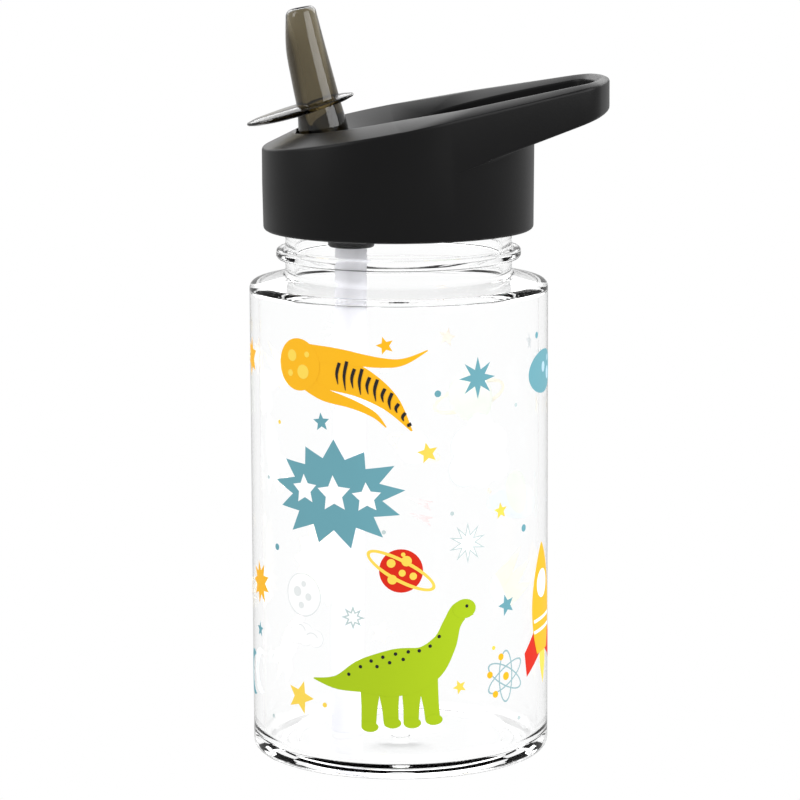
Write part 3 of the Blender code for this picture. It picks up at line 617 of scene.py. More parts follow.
def rounded_rings(rings, radii, steps=4):
    """Round the loft's crease at each inner ring by that ring's radius."""
    result = [[tuple(p) for p in rings[0]]]
    for index in range(1, len(rings) - 1):
        radius = radii[index]
        if radius <= 0.0:
            result.append([tuple(p) for p in rings[index]])
            continue
        arcs = [rounding(before, here, after, radius, steps) for before, here, after
                in zip(rings[index - 1], rings[index], rings[index + 1])]
        result += [[tuple(points[i]) for points in arcs] for i in range(steps + 1)]
    result.append([tuple(p) for p in rings[-1]])
    return result


def lid_blank(settings, material):
    outer = both_halves(outer_half())
    well = both_halves(well_half())
    angles = [math.atan2(y, x) for x, y in outer]

    def circle(radius):
        return [(radius * math.cos(a), radius * math.sin(a)) for a in angles]

    soft = settings.edge_round
    rings = [
        level(circle(LID_RADIUS - 2.6), LID_BOTTOM), level(circle(LID_RADIUS - 0.2), LID_BOTTOM),
        level(circle(LID_RADIUS), underside_height), level(outer, underside_height),
        level(outer, edge_height), level(both_halves(ridge_half()), ridge_height),
        level(well, well_edge_height), level(well, floor_height)]
    radii = [0.0, soft * 1.3, soft * 1.6, soft * 1.8, soft * 1.3, soft * 1.6, soft, 0.0]
    bm = skin(rounded_rings(rings, radii))
    return new_object("screw_lid", bm, [material], 0.0)


def crossing(inside, outside, radius):
    """Where the line between two points crosses a circle round the axis."""
    inside, outside = Vector(inside), Vector(outside)
    step = outside - inside
    a, b, c = step.dot(step), 2 * inside.dot(step), inside.dot(inside) - radius ** 2
    return inside + step * ((-b + math.sqrt(b * b - 4 * a * c)) / (2 * a))


def prism(outline, bottom, top):
    return skin([level(outline, bottom), level(outline, top)])


def finger_gap():
    well = well_half()
    beyond = [i for i, p in enumerate(well) if math.hypot(*p) > LID_RADIUS and p[0] > 0.0]
    meet = crossing(well[beyond[0] - 1], well[beyond[0]], LID_RADIUS)
    limit = math.atan2(meet[1], meet[0])
    outline = arc((0.0, 0.0), LID_RADIUS, -limit, limit, 36)
    side = [well[i] for i in beyond]
    outline += side + [(x, -y) for x, y in reversed(side[:-1])]
    return prism(outline, LID_BOTTOM, LID_EDGE + 40.0)


def round_bar(radius, start, end, steps=40):
    """A round bar along Z."""
    ring = arc((0.0, 0.0), radius, 0.0, 2 * math.pi * (steps - 1) / steps, steps - 1)
    return skin([level(ring, start), level(ring, end)])


def placed(bm, move=(0.0, 0.0, 0.0), turn=None):
    if turn is not None:
        bmesh.ops.transform(bm, matrix=turn, verts=bm.verts)
    bmesh.ops.translate(bm, vec=move, verts=bm.verts)
    return bm


ACROSS = Matrix.Rotation(math.pi / 2, 4, "X")


def side_prism(outline, half_width):
    """A side view of (x, z) points, made as wide on both sides of the middle plane."""
    return skin([[(x, y, z) for x, z in outline] for y in (-half_width, half_width)])


def tab_slot():
    """Room in the dish's floor for the tab's rear end when the spout is folded."""
    tip_x = TAB_OFFSET + TAB_HALF_LENGTH * math.cos(TAB_TILT)
    tip_z = TAB_RISE + TAB_HALF_LENGTH * math.sin(TAB_TILT)
    gap, rim = 0.5, 0.5
    near = math.hypot(BARREL_RADIUS - gap, TAB_RISE) - gap
    far = math.hypot(tip_x, tip_z + rim) + gap
    lowest = SPOUT_LEAN - math.atan2(tip_x, tip_z - rim) - gap / near
    pivot = (PIVOT.x, PIVOT.z)
    outline = arc(pivot, far, lowest, WELL_ANGLE, 16) + arc(pivot, near, WELL_ANGLE, lowest, 16)
    along = (BARREL_RADIUS - gap - TAB_OFFSET) / TAB_HALF_LENGTH
    return side_prism(outline, TAB_HALF_WIDTH * math.sqrt(1.0 - along ** 2) + gap)


def spout_room():
    """Side view of the room that the spout sweeps, given its width across."""
    top = PIVOT.z + 20.0
    floor_end = WELL_FRONT + 3.0
    slope = math.tan(SPOUT_LEAN)
    outline = [(PIVOT.x - POCKET_RADIUS - 0.3 - slope * (top - PIVOT.z), top)]
    outline += arc((PIVOT.x, PIVOT.z), POCKET_RADIUS, math.pi,
                   WELL_ANGLE + 1.5 * math.pi, 28)
    outline += [(floor_end, floor_height(floor_end)), (floor_end, top)]
    return side_prism(outline, POCKET_HALF_WIDTH)


def straw_x(height):
    return PIVOT.x + 5.2 + math.tan(STRAW_LEAN) * (height - COLLAR_LOW)


def lid_hollow():
    """The room round the neck, with the plug left standing and the screw ridge left on."""
    corners = [(0.0, PLUG_BOTTOM, 0.0), (PLUG_RADIUS, PLUG_BOTTOM, 0.4),
               (PLUG_RADIUS, GASKET_SEAT, 0.2), (LID_BORE, GASKET_SEAT, 0.5)]
    profile = rounded(corners, steps=3, closed=False)
    flank = 2 * THREAD_RIDGE + TOUCH_GAP
    across = (LID_BORE - THREAD_BITE) - (NECK_RADIUS + THREAD_BITE)
    start = NECK_THREAD_START + THREAD_PITCH - math.sqrt(flank ** 2 - across ** 2)
    count = 56
    bottom = LID_BOTTOM - 2.0
    profile += [(LID_BORE, GASKET_SEAT + (bottom - GASKET_SEAT) * i / count)
                for i in range(1, count + 1)]
    profile.append((0.0, bottom))
    ridge = helix_bulge(start, LID_THREAD_TURNS, LID_BORE)
    return lathe(profile, 120, closed=False, bulge=lambda r, z, a: -ridge(r, z, a))


def deck_core():
    radius = PLUG_RADIUS - 2.4
    limit = math.acos((PIVOT.x + 19.1) / radius)
    outline = arc((0.0, 0.0), radius, -limit, limit, 40)
    return skin([level(outline, PLUG_BOTTOM - 10.0),
                 level(outline, lambda x: floor_height(x) - DECK_THICKNESS)])


def collar_socket():
    inner, outer = 8.1, 9.6
    low_z, high_z = PLUG_BOTTOM - 2.2, PLUG_BOTTOM + 0.5
    profile = [(outer, high_z), (outer, low_z), (inner, low_z), (inner, high_z)]
    return lathe(profile, 48, centre=(straw_x(PLUG_BOTTOM), 0.0))


VALVE = Vector((12.0, 11.0, 0.0))
DECK_TILT = Matrix.Rotation(-WELL_ANGLE, 4, "Y")


class BOTTLE_OT_lid(bpy.types.Operator):
    """Build the black screw lid with its crown, dish, spout pocket and carry loop"""
    bl_idname = "bottle.lid"
    bl_label = "Screw Lid"

    def execute(self, context):
        settings = context.scene.bottle_lid_settings
        lid = lid_blank(settings, black_plastic(context.scene))
        cut(lid, tool("hollow", lid_hollow()))
        cut(lid, tool("core", deck_core()))
        cut(lid, tool("gap", finger_gap()))
        cut(lid, tool("pocket", spout_room()))
        cut(lid, tool("slot", tab_slot()))
        reach = BARREL_HALF_WIDTH + TRUNNION_LENGTH + TOUCH_GAP
        cut(lid, tool("bearings", placed(round_bar(TRUNNION_BORE, -reach, reach), PIVOT, ACROSS)))
        cut(lid, tool("chamber", placed(round_bar(5.6, PLUG_BOTTOM - 10.0, PIVOT.z - 3.1),
                                        (PIVOT.x + 3.4, 0.0, 0.0))))
        join(lid, tool("socket", collar_socket()))
        place = (VALVE.x, VALVE.y, floor_height(VALVE.x))
        cut(lid, tool("valve_hole", placed(round_bar(1.4, -10.0, 5.0, 24), place, DECK_TILT)))
        reshade(lid)
        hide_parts("lid_shell")
        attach(lid, "lid")
        return {"FINISHED"}


# ================================================================ spout
def oval(half_x, half_y, height, shift=0.0, steps=96):
    return [(half_x * math.cos(2 * math.pi * i / steps) - shift,
             half_y * math.sin(2 * math.pi * i / steps), height) for i in range(steps)]


def through(sections, count):
    """Smooth sections between the given ones, by a curve through their numbers."""
    result = []
    last = len(sections) - 1
    for i in range(count + 1):
        place = i / count * last
        k = min(int(place), last - 1)
        t = place - k
        p = [sections[max(k - 1, 0)], sections[k], sections[k + 1], sections[min(k + 2, last)]]
        result.append(tuple(
            0.5 * (2 * b + (c - a) * t + (2 * a - 5 * b + 4 * c - d) * t * t
                   + (3 * b - a - 3 * c + d) * t ** 3) for a, b, c, d in zip(*p)))
    return result


def spout_tube():
    sections = [(5.9, 6.3, 0.0, 0.0), (5.95, 6.4, 6.2, 0.1), (5.3, 6.0, TAB_RISE, 0.05),
                (5.05, 5.8, 18.6, 0.3), (4.65, 5.6, 26.9, 0.55), (3.65, 5.2, 34.8, 0.1)]
    rings = [oval(*section) for section in through(sections, 30)]
    rings.append(oval(3.3, 4.9, SPOUT_LENGTH - 0.45, 0.05))
    rings.append(oval(2.9, 4.55, SPOUT_LENGTH - 0.1))
    rings.append(oval(2.75, 4.35, SPOUT_LENGTH))
    return skin(rings)


def finger_tab():
    """A thin lens-shaped leaf with a rounded rim."""
    sections = [(0.30, 0.30, -1.45), (0.62, 0.62, -1.30), (0.88, 0.86, -0.85),
                (0.98, 0.97, -0.45), (1.0, 1.0, -0.10), (0.985, 0.985, 0.22),
                (0.86, 0.88, 0.62), (0.60, 0.66, 0.88), (0.30, 0.32, 0.98)]
    rings = [oval(TAB_HALF_LENGTH * a, TAB_HALF_WIDTH * b, z) for a, b, z in sections]
    tilt = Matrix.Rotation(-TAB_TILT, 4, "Y")
    return placed(skin(rings), (TAB_OFFSET, 0.0, TAB_RISE), tilt)


class BOTTLE_OT_spout(bpy.types.Operator):
    """Build the smoke-tinted folding spout with its finger tab, barrel and trunnions"""
    bl_idname = "bottle.spout"
    bl_label = "Folding Spout"

    def execute(self, context):
        settings = context.scene.bottle_spout_settings
        spout = new_object("folding_spout", spout_tube(), [smoked_plastic(context.scene)], 0.0)
        end = BARREL_HALF_WIDTH
        join(spout, tool("barrel", placed(round_bar(BARREL_RADIUS, -end, end, 96), turn=ACROSS)))
        end += TRUNNION_LENGTH
        join(spout, tool("trunnions", placed(round_bar(TRUNNION_RADIUS, -end, end, 48),
                                             turn=ACROSS)))
        join(spout, tool("tab", finger_tab()))
        cut(spout, tool("bore", round_bar(settings.bore, -20.0, SPOUT_LENGTH + 10.0, 64)))
        lean = Matrix.Rotation(-SPOUT_LEAN, 4, "Y")
        spout.data.transform(Matrix.Translation(PIVOT * MM) @ lean)
        reshade(spout)
        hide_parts("spout")
        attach(spout, "spout")
        return {"FINISHED"}


# ================================================================ straw, collar and seals
def upright_piece(name, corners, steps, material, low_z, lean=0.0, x=0.0):
    """A turned piece with its foot at a height, leaned about that foot in the XZ plane."""
    bm = lathe(rounded(corners, steps=4), steps)
    placed(bm, (x, 0.0, low_z), Matrix.Rotation(lean, 4, "Y"))
    return new_object(name, bm, [material], 35.0)


class BOTTLE_OT_straw(bpy.types.Operator):
    """Build the frosted straw and the black collar that holds it under the lid"""
    bl_idname = "bottle.straw"
    bl_label = "Straw And Collar"

    def execute(self, context):
        wall = context.scene.bottle_straw_settings.wall
        foot = FLOOR_THICKNESS + 0.8
        length = (COLLAR_LOW + COLLAR_LENGTH - 3.0 - TOUCH_GAP - foot) / math.cos(STRAW_LEAN)
        outer, inner = STRAW_RADIUS, STRAW_RADIUS - wall
        straw = upright_piece("frosted_straw", [
            (outer, length, 0.2), (outer, 0.0, 0.3), (inner, 0.0, 0.3), (inner, length, 0.2)],
            64, frosted_plastic(context.scene), foot, STRAW_LEAN, straw_x(foot))
        bore, throat, body, flange = outer + TOUCH_GAP, inner - TOUCH_GAP, 5.6, 7.8
        top = COLLAR_LENGTH
        collar = upright_piece("straw_sleeve", [
            (flange, top, 0.3), (flange, top - 1.6, 0.3), (body, top - 1.6, 0.4), (body, 0.0, 0.6),
            (bore, 0.0, 0.3), (bore, top - 3.0, 0.2), (throat, top - 3.0, 0.2), (throat, top, 0.2)],
            72, black_plastic(context.scene), COLLAR_LOW, STRAW_LEAN, straw_x(COLLAR_LOW))
        for obj, node, slot in ((straw, "straw", "straw"), (collar, "straw_collar", "collar")):
            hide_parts(node)
            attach(obj, "lid")
        return {"FINISHED"}


class BOTTLE_OT_seals(bpy.types.Operator):
    """Build the sealing ring and the air valve, and finish the soft seal under the spout"""
    bl_idname = "bottle.seals"
    bl_label = "Seals And Valve"

    def execute(self, context):
        silicone = milky_silicone(context.scene)
        tall = GASKET_HIGH - GASKET_LOW
        inner = PLUG_RADIUS + TOUCH_GAP
        ring = upright_piece("neck_gasket", [
            (GASKET_OUTER, tall, 0.4), (GASKET_OUTER, 0.0, 0.4), (inner, 0.0, 0.4),
            (inner, tall, 0.4)], 120, silicone, GASKET_LOW)
        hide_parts("lid_gasket")
        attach(ring, "seal_ring")

        stem, knob, head = 1.1, 1.9, 3.4
        top = -DECK_THICKNESS * math.cos(WELL_ANGLE) - TOUCH_GAP
        corners = [(0.0, 1.8, 0.0), (stem + 0.2, 1.7, 0.5), (knob, 0.6, 0.2), (knob, TOUCH_GAP, 0.1),
                   (stem, TOUCH_GAP, 0.1), (stem, top, 0.1), (head, top, 0.15),
                   (head, top - 0.5, 0.15), (stem, top - 1.0, 0.2), (0.0, top - 1.0, 0.0)]
        bm = lathe(rounded(corners, steps=3, closed=False), 36, closed=False)
        placed(bm, (VALVE.x, VALVE.y, floor_height(VALVE.x)), DECK_TILT)
        valve = new_object("air_valve", bm, [silicone], 35.0)
        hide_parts("vent_valve")
        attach(valve, "lid")

        seal = frame["nodes"]["spout_seal"]
        seal.data.materials.clear()
        seal.data.materials.append(silicone)
        return {"FINISHED"}


# ================================================================ flat shapes for the prints
def ring_points(radius, steps=40, centre=(0.0, 0.0), squeeze=1.0, turn=0.0):
    """A circle or, squeezed and turned, an ellipse."""
    points = []
    for i in range(steps):
        a = 2 * math.pi * i / steps
        x, y = radius * math.cos(a), radius * squeeze * math.sin(a)
        points.append((centre[0] + x * math.cos(turn) - y * math.sin(turn),
                       centre[1] + x * math.sin(turn) + y * math.cos(turn)))
    return points


def star_points(tips, outer, inner, turn=math.pi / 2, uneven=0.0, seed=1):
    """A star, whose tips can differ in reach."""
    draw = random.Random(seed)
    points = []
    for i in range(tips * 2):
        reach = outer * (1 - uneven * draw.random()) if i % 2 == 0 else inner
        a = turn + math.pi * i / tips
        points.append((reach * math.cos(a), reach * math.sin(a)))
    return points


def cloud_points(lobes, steps=120):
    """The outline round a heap of (x, y, radius) circles, seen from their middle."""
    points = []
    for i in range(steps):
        a = 2 * math.pi * i / steps
        dx, dy = math.cos(a), math.sin(a)
        best = 0.1
        for x, y, radius in lobes:
            along = x * dx + y * dy
            under = radius ** 2 - (x * x + y * y - along ** 2)
            if under > 0.0:
                best = max(best, along + math.sqrt(under))
        points.append((best * dx, best * dy))
    return points


def swoosh_points(line, widths, steps=28):
    """A tapered band along a bent line of (x, y) points."""
    middle = through([(x, y, w) for (x, y), w in zip(line, widths)], steps)
    left, right = [], []
    for i, (x, y, width) in enumerate(middle):
        before, after = middle[max(i - 1, 0)], middle[min(i + 1, steps)]
        run = Vector((after[0] - before[0], after[1] - before[1])).normalized()
        left.append((x - run.y * width / 2, y + run.x * width / 2))
        right.append((x + run.y * width / 2, y - run.x * width / 2))
    return left + right[::-1]


def crescent_points(radius, bite_radius, bite_offset, steps=36):
    """A disc with another disc bitten out of its side."""
    outer = ring_points(radius, steps * 2)
    keep = [p for p in outer if math.hypot(p[0] - bite_offset, p[1]) > bite_radius]
    keep.sort(key=lambda p: math.atan2(p[1], p[0]) % (2 * math.pi))
    a = math.atan2(keep[0][1], keep[0][0] - bite_offset)
    b = math.atan2(keep[-1][1], keep[-1][0] - bite_offset) % (2 * math.pi)
    inner = arc((bite_offset, 0.0), bite_radius, b, a % (2 * math.pi), steps)
    return keep + inner[1:-1]


def moved(points, x=0.0, y=0.0, turn=0.0, grow=1.0):
    c, s = math.cos(turn) * grow, math.sin(turn) * grow
    return [(x + px * c - py * s, y + px * s + py * c) for px, py in points]


# ================================================================ printed films
class PrintedSheet:
    """Gathers flat ink shapes, bent round the bottle, into one object."""

    def __init__(self, scene):
        self.scene = scene
        self.bm = bmesh.new()
        self.materials = []

    def ink(self, colour, back):
        name = f"ink_{colour}" + ("_back" if back else "")
        tone = list(getattr(self.scene.bottle_print_settings, colour))
        # The ink's underside, seen through the bottle, gets a paler copy of the ink's colour. Part of
        # this lift is painted light: it makes up for the dimmer light that reaches the far wall inside
        # the bottle.
        if back:
            tone = [min(0.79 + 0.24 * value, 0.99) for value in tone]
        material = plastic(name, tone, 0.5, spread=0.12, mottle=0.06, grain=2500.0, bump=0.05,
                           specular=0.12)
        if material not in self.materials:
            self.materials.append(material)
        return self.materials.index(material)

    def add(self, outlines, colour, azimuth, height, layer=0):
        """Print closed outlines at an angle (degrees, 0 at the front) and a height."""
        front, back = self.ink(colour, False), self.ink(colour, True)
        inner = PRINTED_RADIUS + INK_LIFT + layer * (INK_LIFT + INK_THICKNESS)
        flat = self.flat_mesh(outlines)
        start = math.radians(azimuth)
        for v in flat.verts:
            v.co.z = 0.0
        faces = list(flat.faces)
        table = {}

        def point(vert, radius):
            key = (vert.index, radius)
            if key not in table:
                a = start + vert.co.x / BODY_RADIUS
                table[key] = self.bm.verts.new((radius * math.sin(a), -radius * math.cos(a),
                                                height + vert.co.y))
            return table[key]

        flat.verts.index_update()
        outer = inner + INK_THICKNESS
        for face in faces:
            top = self.bm.faces.new([point(v, outer) for v in face.verts])
            top.material_index = front
            under = self.bm.faces.new([point(v, inner) for v in reversed(face.verts)])
            under.material_index = back
        for edge in flat.edges:
            if len(edge.link_faces) == 1:
                loop = edge.link_loops[0]
                a, b = loop.vert, loop.link_loop_next.vert
                side = self.bm.faces.new((point(b, outer), point(a, outer), point(a, inner),
                                          point(b, inner)))
                side.material_index = front
        flat.free()

    def flat_mesh(self, outlines):
        """Fill the outlines, holes by even-odd, and slice them finely enough to bend."""
        curve = bpy.data.curves.new("outline", "CURVE")
        curve.dimensions = "2D"
        curve.fill_mode = "BOTH"
        for outline in outlines:
            spline = curve.splines.new("POLY")
            spline.points.add(len(outline) - 1)
            for spot, (x, y) in zip(spline.points, outline):
                spot.co = (x, y, 0.0, 1.0)
            spline.use_cyclic_u = True
        guide = bpy.data.objects.new("outline", curve)
        bpy.context.scene.collection.objects.link(guide)
        graph = bpy.context.evaluated_depsgraph_get()
        mesh = bpy.data.meshes.new_from_object(guide.evaluated_get(graph))
        bpy.data.objects.remove(guide, do_unlink=True)
        flat = bmesh.new()
        flat.from_mesh(mesh)
        bpy.data.meshes.remove(mesh)
        bmesh.ops.remove_doubles(flat, verts=flat.verts, dist=0.001)
        left = min(v.co.x for v in flat.verts)
        right = max(v.co.x for v in flat.verts)
        count = int((right - left) / 1.2)
        for i in range(1, count + 1):
            bmesh.ops.bisect_plane(flat, geom=flat.verts[:] + flat.edges[:] + flat.faces[:],
                                   dist=0.0001, plane_no=(1.0, 0.0, 0.0),
                                   plane_co=(left + (right - left) * i / (count + 1), 0.0, 0.0))
        for face in flat.faces:
            face.normal_update()
            if face.normal.z < 0.0:
                face.normal_flip()
        return flat

    def finish(self, name):
        obj = new_object(name, self.bm, self.materials, 30.0)
        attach(obj, "bottle")


def add_star(sheet, azimuth, height, size, colour, tips=5, turn=0.2, slim=0.45, layer=0):
    sheet.add([star_points(tips, size, size * slim, math.pi / 2 + turn)], colour, azimuth, height,
              layer)


def add_dot(sheet, azimuth, height, size, colour, x=0.0, y=0.0, layer=0):
    sheet.add([ring_points(size, 24, (x, y))], colour, azimuth, height, layer)


def add_line_star(sheet, azimuth, height, size, tips, slim, width=0.5):
    """A white star with a thin grey outline."""
    outer = star_points(tips, size, size * slim)
    inner = star_points(tips, size - width * 2.2, size * slim - width * 0.9)
    sheet.add([outer, inner], "grey", azimuth, height)
    sheet.add([moved(inner, grow=0.97)], "white", azimuth, height)


def add_planet(sheet, azimuth, height, size, colour, ring, tilt, spots=(), spot_ink="yellow"):
    """A spotted disc with a flat ring printed over it."""
    sheet.add([ring_points(size)], colour, azimuth, height)
    for x, y, radius in spots:
        add_dot(sheet, azimuth, height, size * radius, spot_ink, size * x, size * y, 1)
    band = [ring_points(size * 1.76, 72, squeeze=0.30, turn=tilt),
            ring_points(size * 1.60, 72, squeeze=0.23, turn=tilt)]
    sheet.add(band, ring, azimuth, height, 2)


def add_cloud(sheet, azimuth, height, lobes, grow=1.0):
    """A white heap of puffs with a thin pale edge and two soft creases."""
    outline = moved(cloud_points(lobes), grow=grow)
    sheet.add([outline, moved(outline, grow=0.965)], "mist", azimuth, height)
    sheet.add([moved(outline, grow=0.96)], "white", azimuth, height)
    for x, y, start in ((-0.25, 0.1, 0.3), (0.3, -0.15, 0.5)):
        crease = arc((x * 8.0, y * 8.0), 2.4, start, start + 1.9, 14)
        inner = arc((x * 8.0, y * 8.0), 2.15, start + 1.9, start, 14)
        sheet.add([moved(crease + inner, grow=grow)], "mist", azimuth, height, 1)


def add_comet(sheet, azimuth, height, size, head, tail, direction, length):
    """A round head with a three-stranded tail that narrows away from it."""
    for side, reach in ((-0.55, 0.8), (0.0, 1.0), (0.55, 0.85)):
        line = [(0.0, side * size), (length * 0.4 * reach, side * size * 1.25),
                (length * reach, side * size * 1.9)]
        band = swoosh_points(line, (size * 0.85, size * 0.7, 0.15))
        sheet.add([moved(band, turn=direction)], tail, azimuth, height, 0 if side else 1)
    add_dot(sheet, azimuth, height, size, head, layer=2)
    for x, y, radius in ((-0.3, 0.3, 0.22), (0.25, -0.1, 0.28), (-0.25, -0.4, 0.14)):
        add_dot(sheet, azimuth, height, size * radius, "white", size * x, size * y, 3)


def rocket_outline(length, width):
    """A pointed body: two arcs that meet at the nose, cut square at the tail."""
    half = []
    for i in range(25):
        share = i / 24
        half.append((width / 2 * math.sin(math.pi * (0.18 + 0.82 * share)) ** 0.8 if share < 1 else 0.0,
                     length * (share - 0.5)))
    return half + [(-x, y) for x, y in reversed(half[:-1])]


def add_rocket(sheet, azimuth, height, length, lean, body, fins, trim):
    width = length * 0.48
    for side in (-1, 1):
        fin = [(side * width * 0.24, -length * 0.20), (side * width * 0.80, -length * 0.44),
               (side * width * 0.74, -length * 0.66), (side * width * 0.16, -length * 0.50)]
        sheet.add([moved(fin, turn=lean)], fins, azimuth, height)
    flame = swoosh_points([(0.0, -length * 0.48), (0.0, -length * 0.62), (0.0, -length * 0.80)],
                          (width * 0.34, width * 0.3, 0.1))
    sheet.add([moved(flame, turn=lean)], "yellow", azimuth, height, 1)
    sheet.add([moved(rocket_outline(length, width), turn=lean)], body, azimuth, height, 2)
    window = (0.0, length * 0.12)
    sheet.add([moved(ring_points(width * 0.27, 32, window), turn=lean)], trim, azimuth, height, 3)
    for place in (-0.18, -0.28):
        band = [(-width * 0.44, length * place), (width * 0.44, length * place),
                (width * 0.41, length * (place - 0.03)), (-width * 0.41, length * (place - 0.03))]
        sheet.add([moved(band, turn=lean)], trim, azimuth, height, 3)


class BOTTLE_OT_comets(bpy.types.Operator):
    """Print the big striped comet and the pale comets"""
    bl_idname = "bottle.comets"
    bl_label = "Printed Comets"

    def execute(self, context):
        sheet = PrintedSheet(context.scene)
        azimuth, height = -20.0, 94.5
        tails = (([(-10.0, 3.6), (-3.0, 2.8), (4.0, 0.6), (10.5, -3.8), (15.5, -10.5)],
                  (9.4, 8.6, 7.0, 4.4, 0.4)),
                 ([(-11.0, 7.2), (-2.0, 6.8), (8.0, 5.6), (13.5, 5.8), (19.3, 8.4)],
                  (4.0, 3.6, 2.4, 1.6, 0.3)),
                 ([(-12.0, 0.6), (-6.0, -2.4), (1.0, -4.2), (6.5, -6.6), (9.5, -9.6)],
                  (4.0, 3.2, 2.2, 1.4, 0.3)))
        for line, widths in tails:
            sheet.add([swoosh_points(line, widths)], "orange", azimuth, height,
                      0 if widths[0] > 5.0 else 1)
        nose = azimuth - math.degrees(13.2 / BODY_RADIUS)
        sheet.add([ring_points(6.2, 56)], "orange", nose, height + 4.0, 2)
        for x, y, radius in ((-2.0, 2.0, 1.4), (1.4, -1.6, 1.7), (-2.6, -2.2, 0.8), (2.6, 2.6, 0.7)):
            add_dot(sheet, nose, height + 4.0, radius, "yellow", x, y, 3)
        line, widths = tails[0]
        spine = through([(x, y, w) for (x, y), w in zip(line, widths)], 15)
        for i, (x, y, width) in enumerate(spine[4:-1]):
            reach = 0.42 if i % 2 else 0.30
            bar = [(x + 0.8, y + width * reach), (x + 0.1, y), (x + 0.4, y - width * reach)]
            sheet.add([swoosh_points(bar, (0.8, 0.75, 0.15), 8)], "dark", azimuth, height, 3)
        add_comet(sheet, 132.0, 33.5, 4.8, "grey", "yellow", 2.5, 17.0)
        add_comet(sheet, -124.0, 89.0, 3.6, "yellow", "yellow", 0.5, 15.0)
        add_comet(sheet, -146.0, 33.0, 3.4, "teal", "yellow", 1.9, 14.0)
        sheet.finish("print_comets")
        return {"FINISHED"}


class BOTTLE_OT_bursts(bpy.types.Operator):
    """Print the big teal burst with its three small stars and the outlined bursts"""
    bl_idname = "bottle.bursts"
    bl_label = "Printed Bursts"

    def execute(self, context):
        sheet = PrintedSheet(context.scene)
        burst = star_points(13, 13.2, 8.6, 0.12, uneven=0.16, seed=7)
        azimuth, height = -25.5, 68.5
        sheet.add([[(x * 1.40, y) for x, y in burst]], "teal", azimuth, height)
        for place, size in ((-8.2, 3.7), (0.0, 4.5), (8.2, 3.7)):
            add_star(sheet, azimuth + math.degrees(place / BODY_RADIUS), height - 0.05 * place,
                     size, "white", turn=0.06, slim=0.5, layer=1)
        add_line_star(sheet, 26.4, 56.7, 5.0, 10, 0.42)
        add_line_star(sheet, -18.0, 39.3, 2.9, 8, 0.50)
        add_line_star(sheet, 205.0, 98.0, 5.0, 12, 0.46)
        place = (212.0, 40.0)
        sheet.add([star_points(14, 12.0, 8.6, 0.2, uneven=0.15, seed=9)], "orange", *place)
        add_star(sheet, *place, 5.4, "white", layer=1)
        sheet.finish("print_bursts")
        return {"FINISHED"}


class BOTTLE_OT_stars(bpy.types.Operator):
    """Print the loose stars and dots"""
    bl_idname = "bottle.stars"
    bl_label = "Printed Stars"

    def execute(self, context):
        sheet = PrintedSheet(context.scene)
        add_star(sheet, 30.8, 95.7, 5.0, "teal", tips=8, slim=0.42, turn=0.0)
        for azimuth, height, size, colour, turn in (
                (-30.6, 85.4, 2.3, "teal", 0.1), (-5.2, 104.1, 2.2, "orange", 0.3),
                (10.6, 78.7, 2.6, "yellow", 0.2), (-41.6, 18.5, 4.2, "yellow", -0.3),
                (22.9, 22.2, 1.8, "yellow", 0.4), (41.6, 63.3, 2.1, "yellow", 0.1),
                (44.7, 40.3, 2.7, "teal", 0.3), (-69.8, 31.8, 2.0, "teal", 0.0),
                (95.0, 84.0, 3.4, "yellow", 0.2), (110.0, 98.0, 2.2, "teal", -0.1),
                (160.0, 96.0, 2.4, "orange", 0.2), (186.0, 88.0, 2.0, "teal", 0.1),
                (188.0, 20.0, 3.2, "yellow", 0.3), (160.0, 20.0, 2.4, "teal", 0.0),
                (236.0, 62.0, 2.8, "yellow", -0.2), (-100.0, 55.0, 2.2, "orange", 0.2),
                (-92.0, 104.0, 2.4, "yellow", 0.0), (-108.0, 20.0, 2.6, "teal", 0.1)):
            add_star(sheet, azimuth, height, size, colour, turn=turn)
        add_star(sheet, -69.0, 43.5, 5.3, "orange", tips=9, slim=0.55)
        for azimuth, height, size, colour in (
                (65.5, 103.4, 0.8, "teal"), (-54.3, 53.7, 0.8, "teal"), (14.5, 92.6, 0.8, "teal"),
                (55.1, 57.9, 0.9, "teal"), (-30.0, 17.5, 0.6, "yellow"), (38.0, 30.5, 0.5, "yellow"),
                (-52.0, 84.0, 0.5, "yellow"), (20.0, 64.0, 0.5, "grey"), (-60.0, 70.0, 0.5, "grey"),
                (-6.0, 60.0, 0.5, "grey"), (50.0, 88.0, 0.5, "grey"), (52.0, 12.0, 0.5, "grey"),
                (-58.0, 12.0, 0.5, "grey"), (100.0, 66.0, 0.8, "teal"), (140.0, 58.0, 0.7, "orange"),
                (196.0, 62.0, 0.8, "teal"), (224.0, 92.0, 0.7, "orange"), (172.0, 36.0, 0.7, "teal")):
            add_dot(sheet, azimuth, height, size, colour)
        sheet.finish("print_stars")
        return {"FINISHED"}


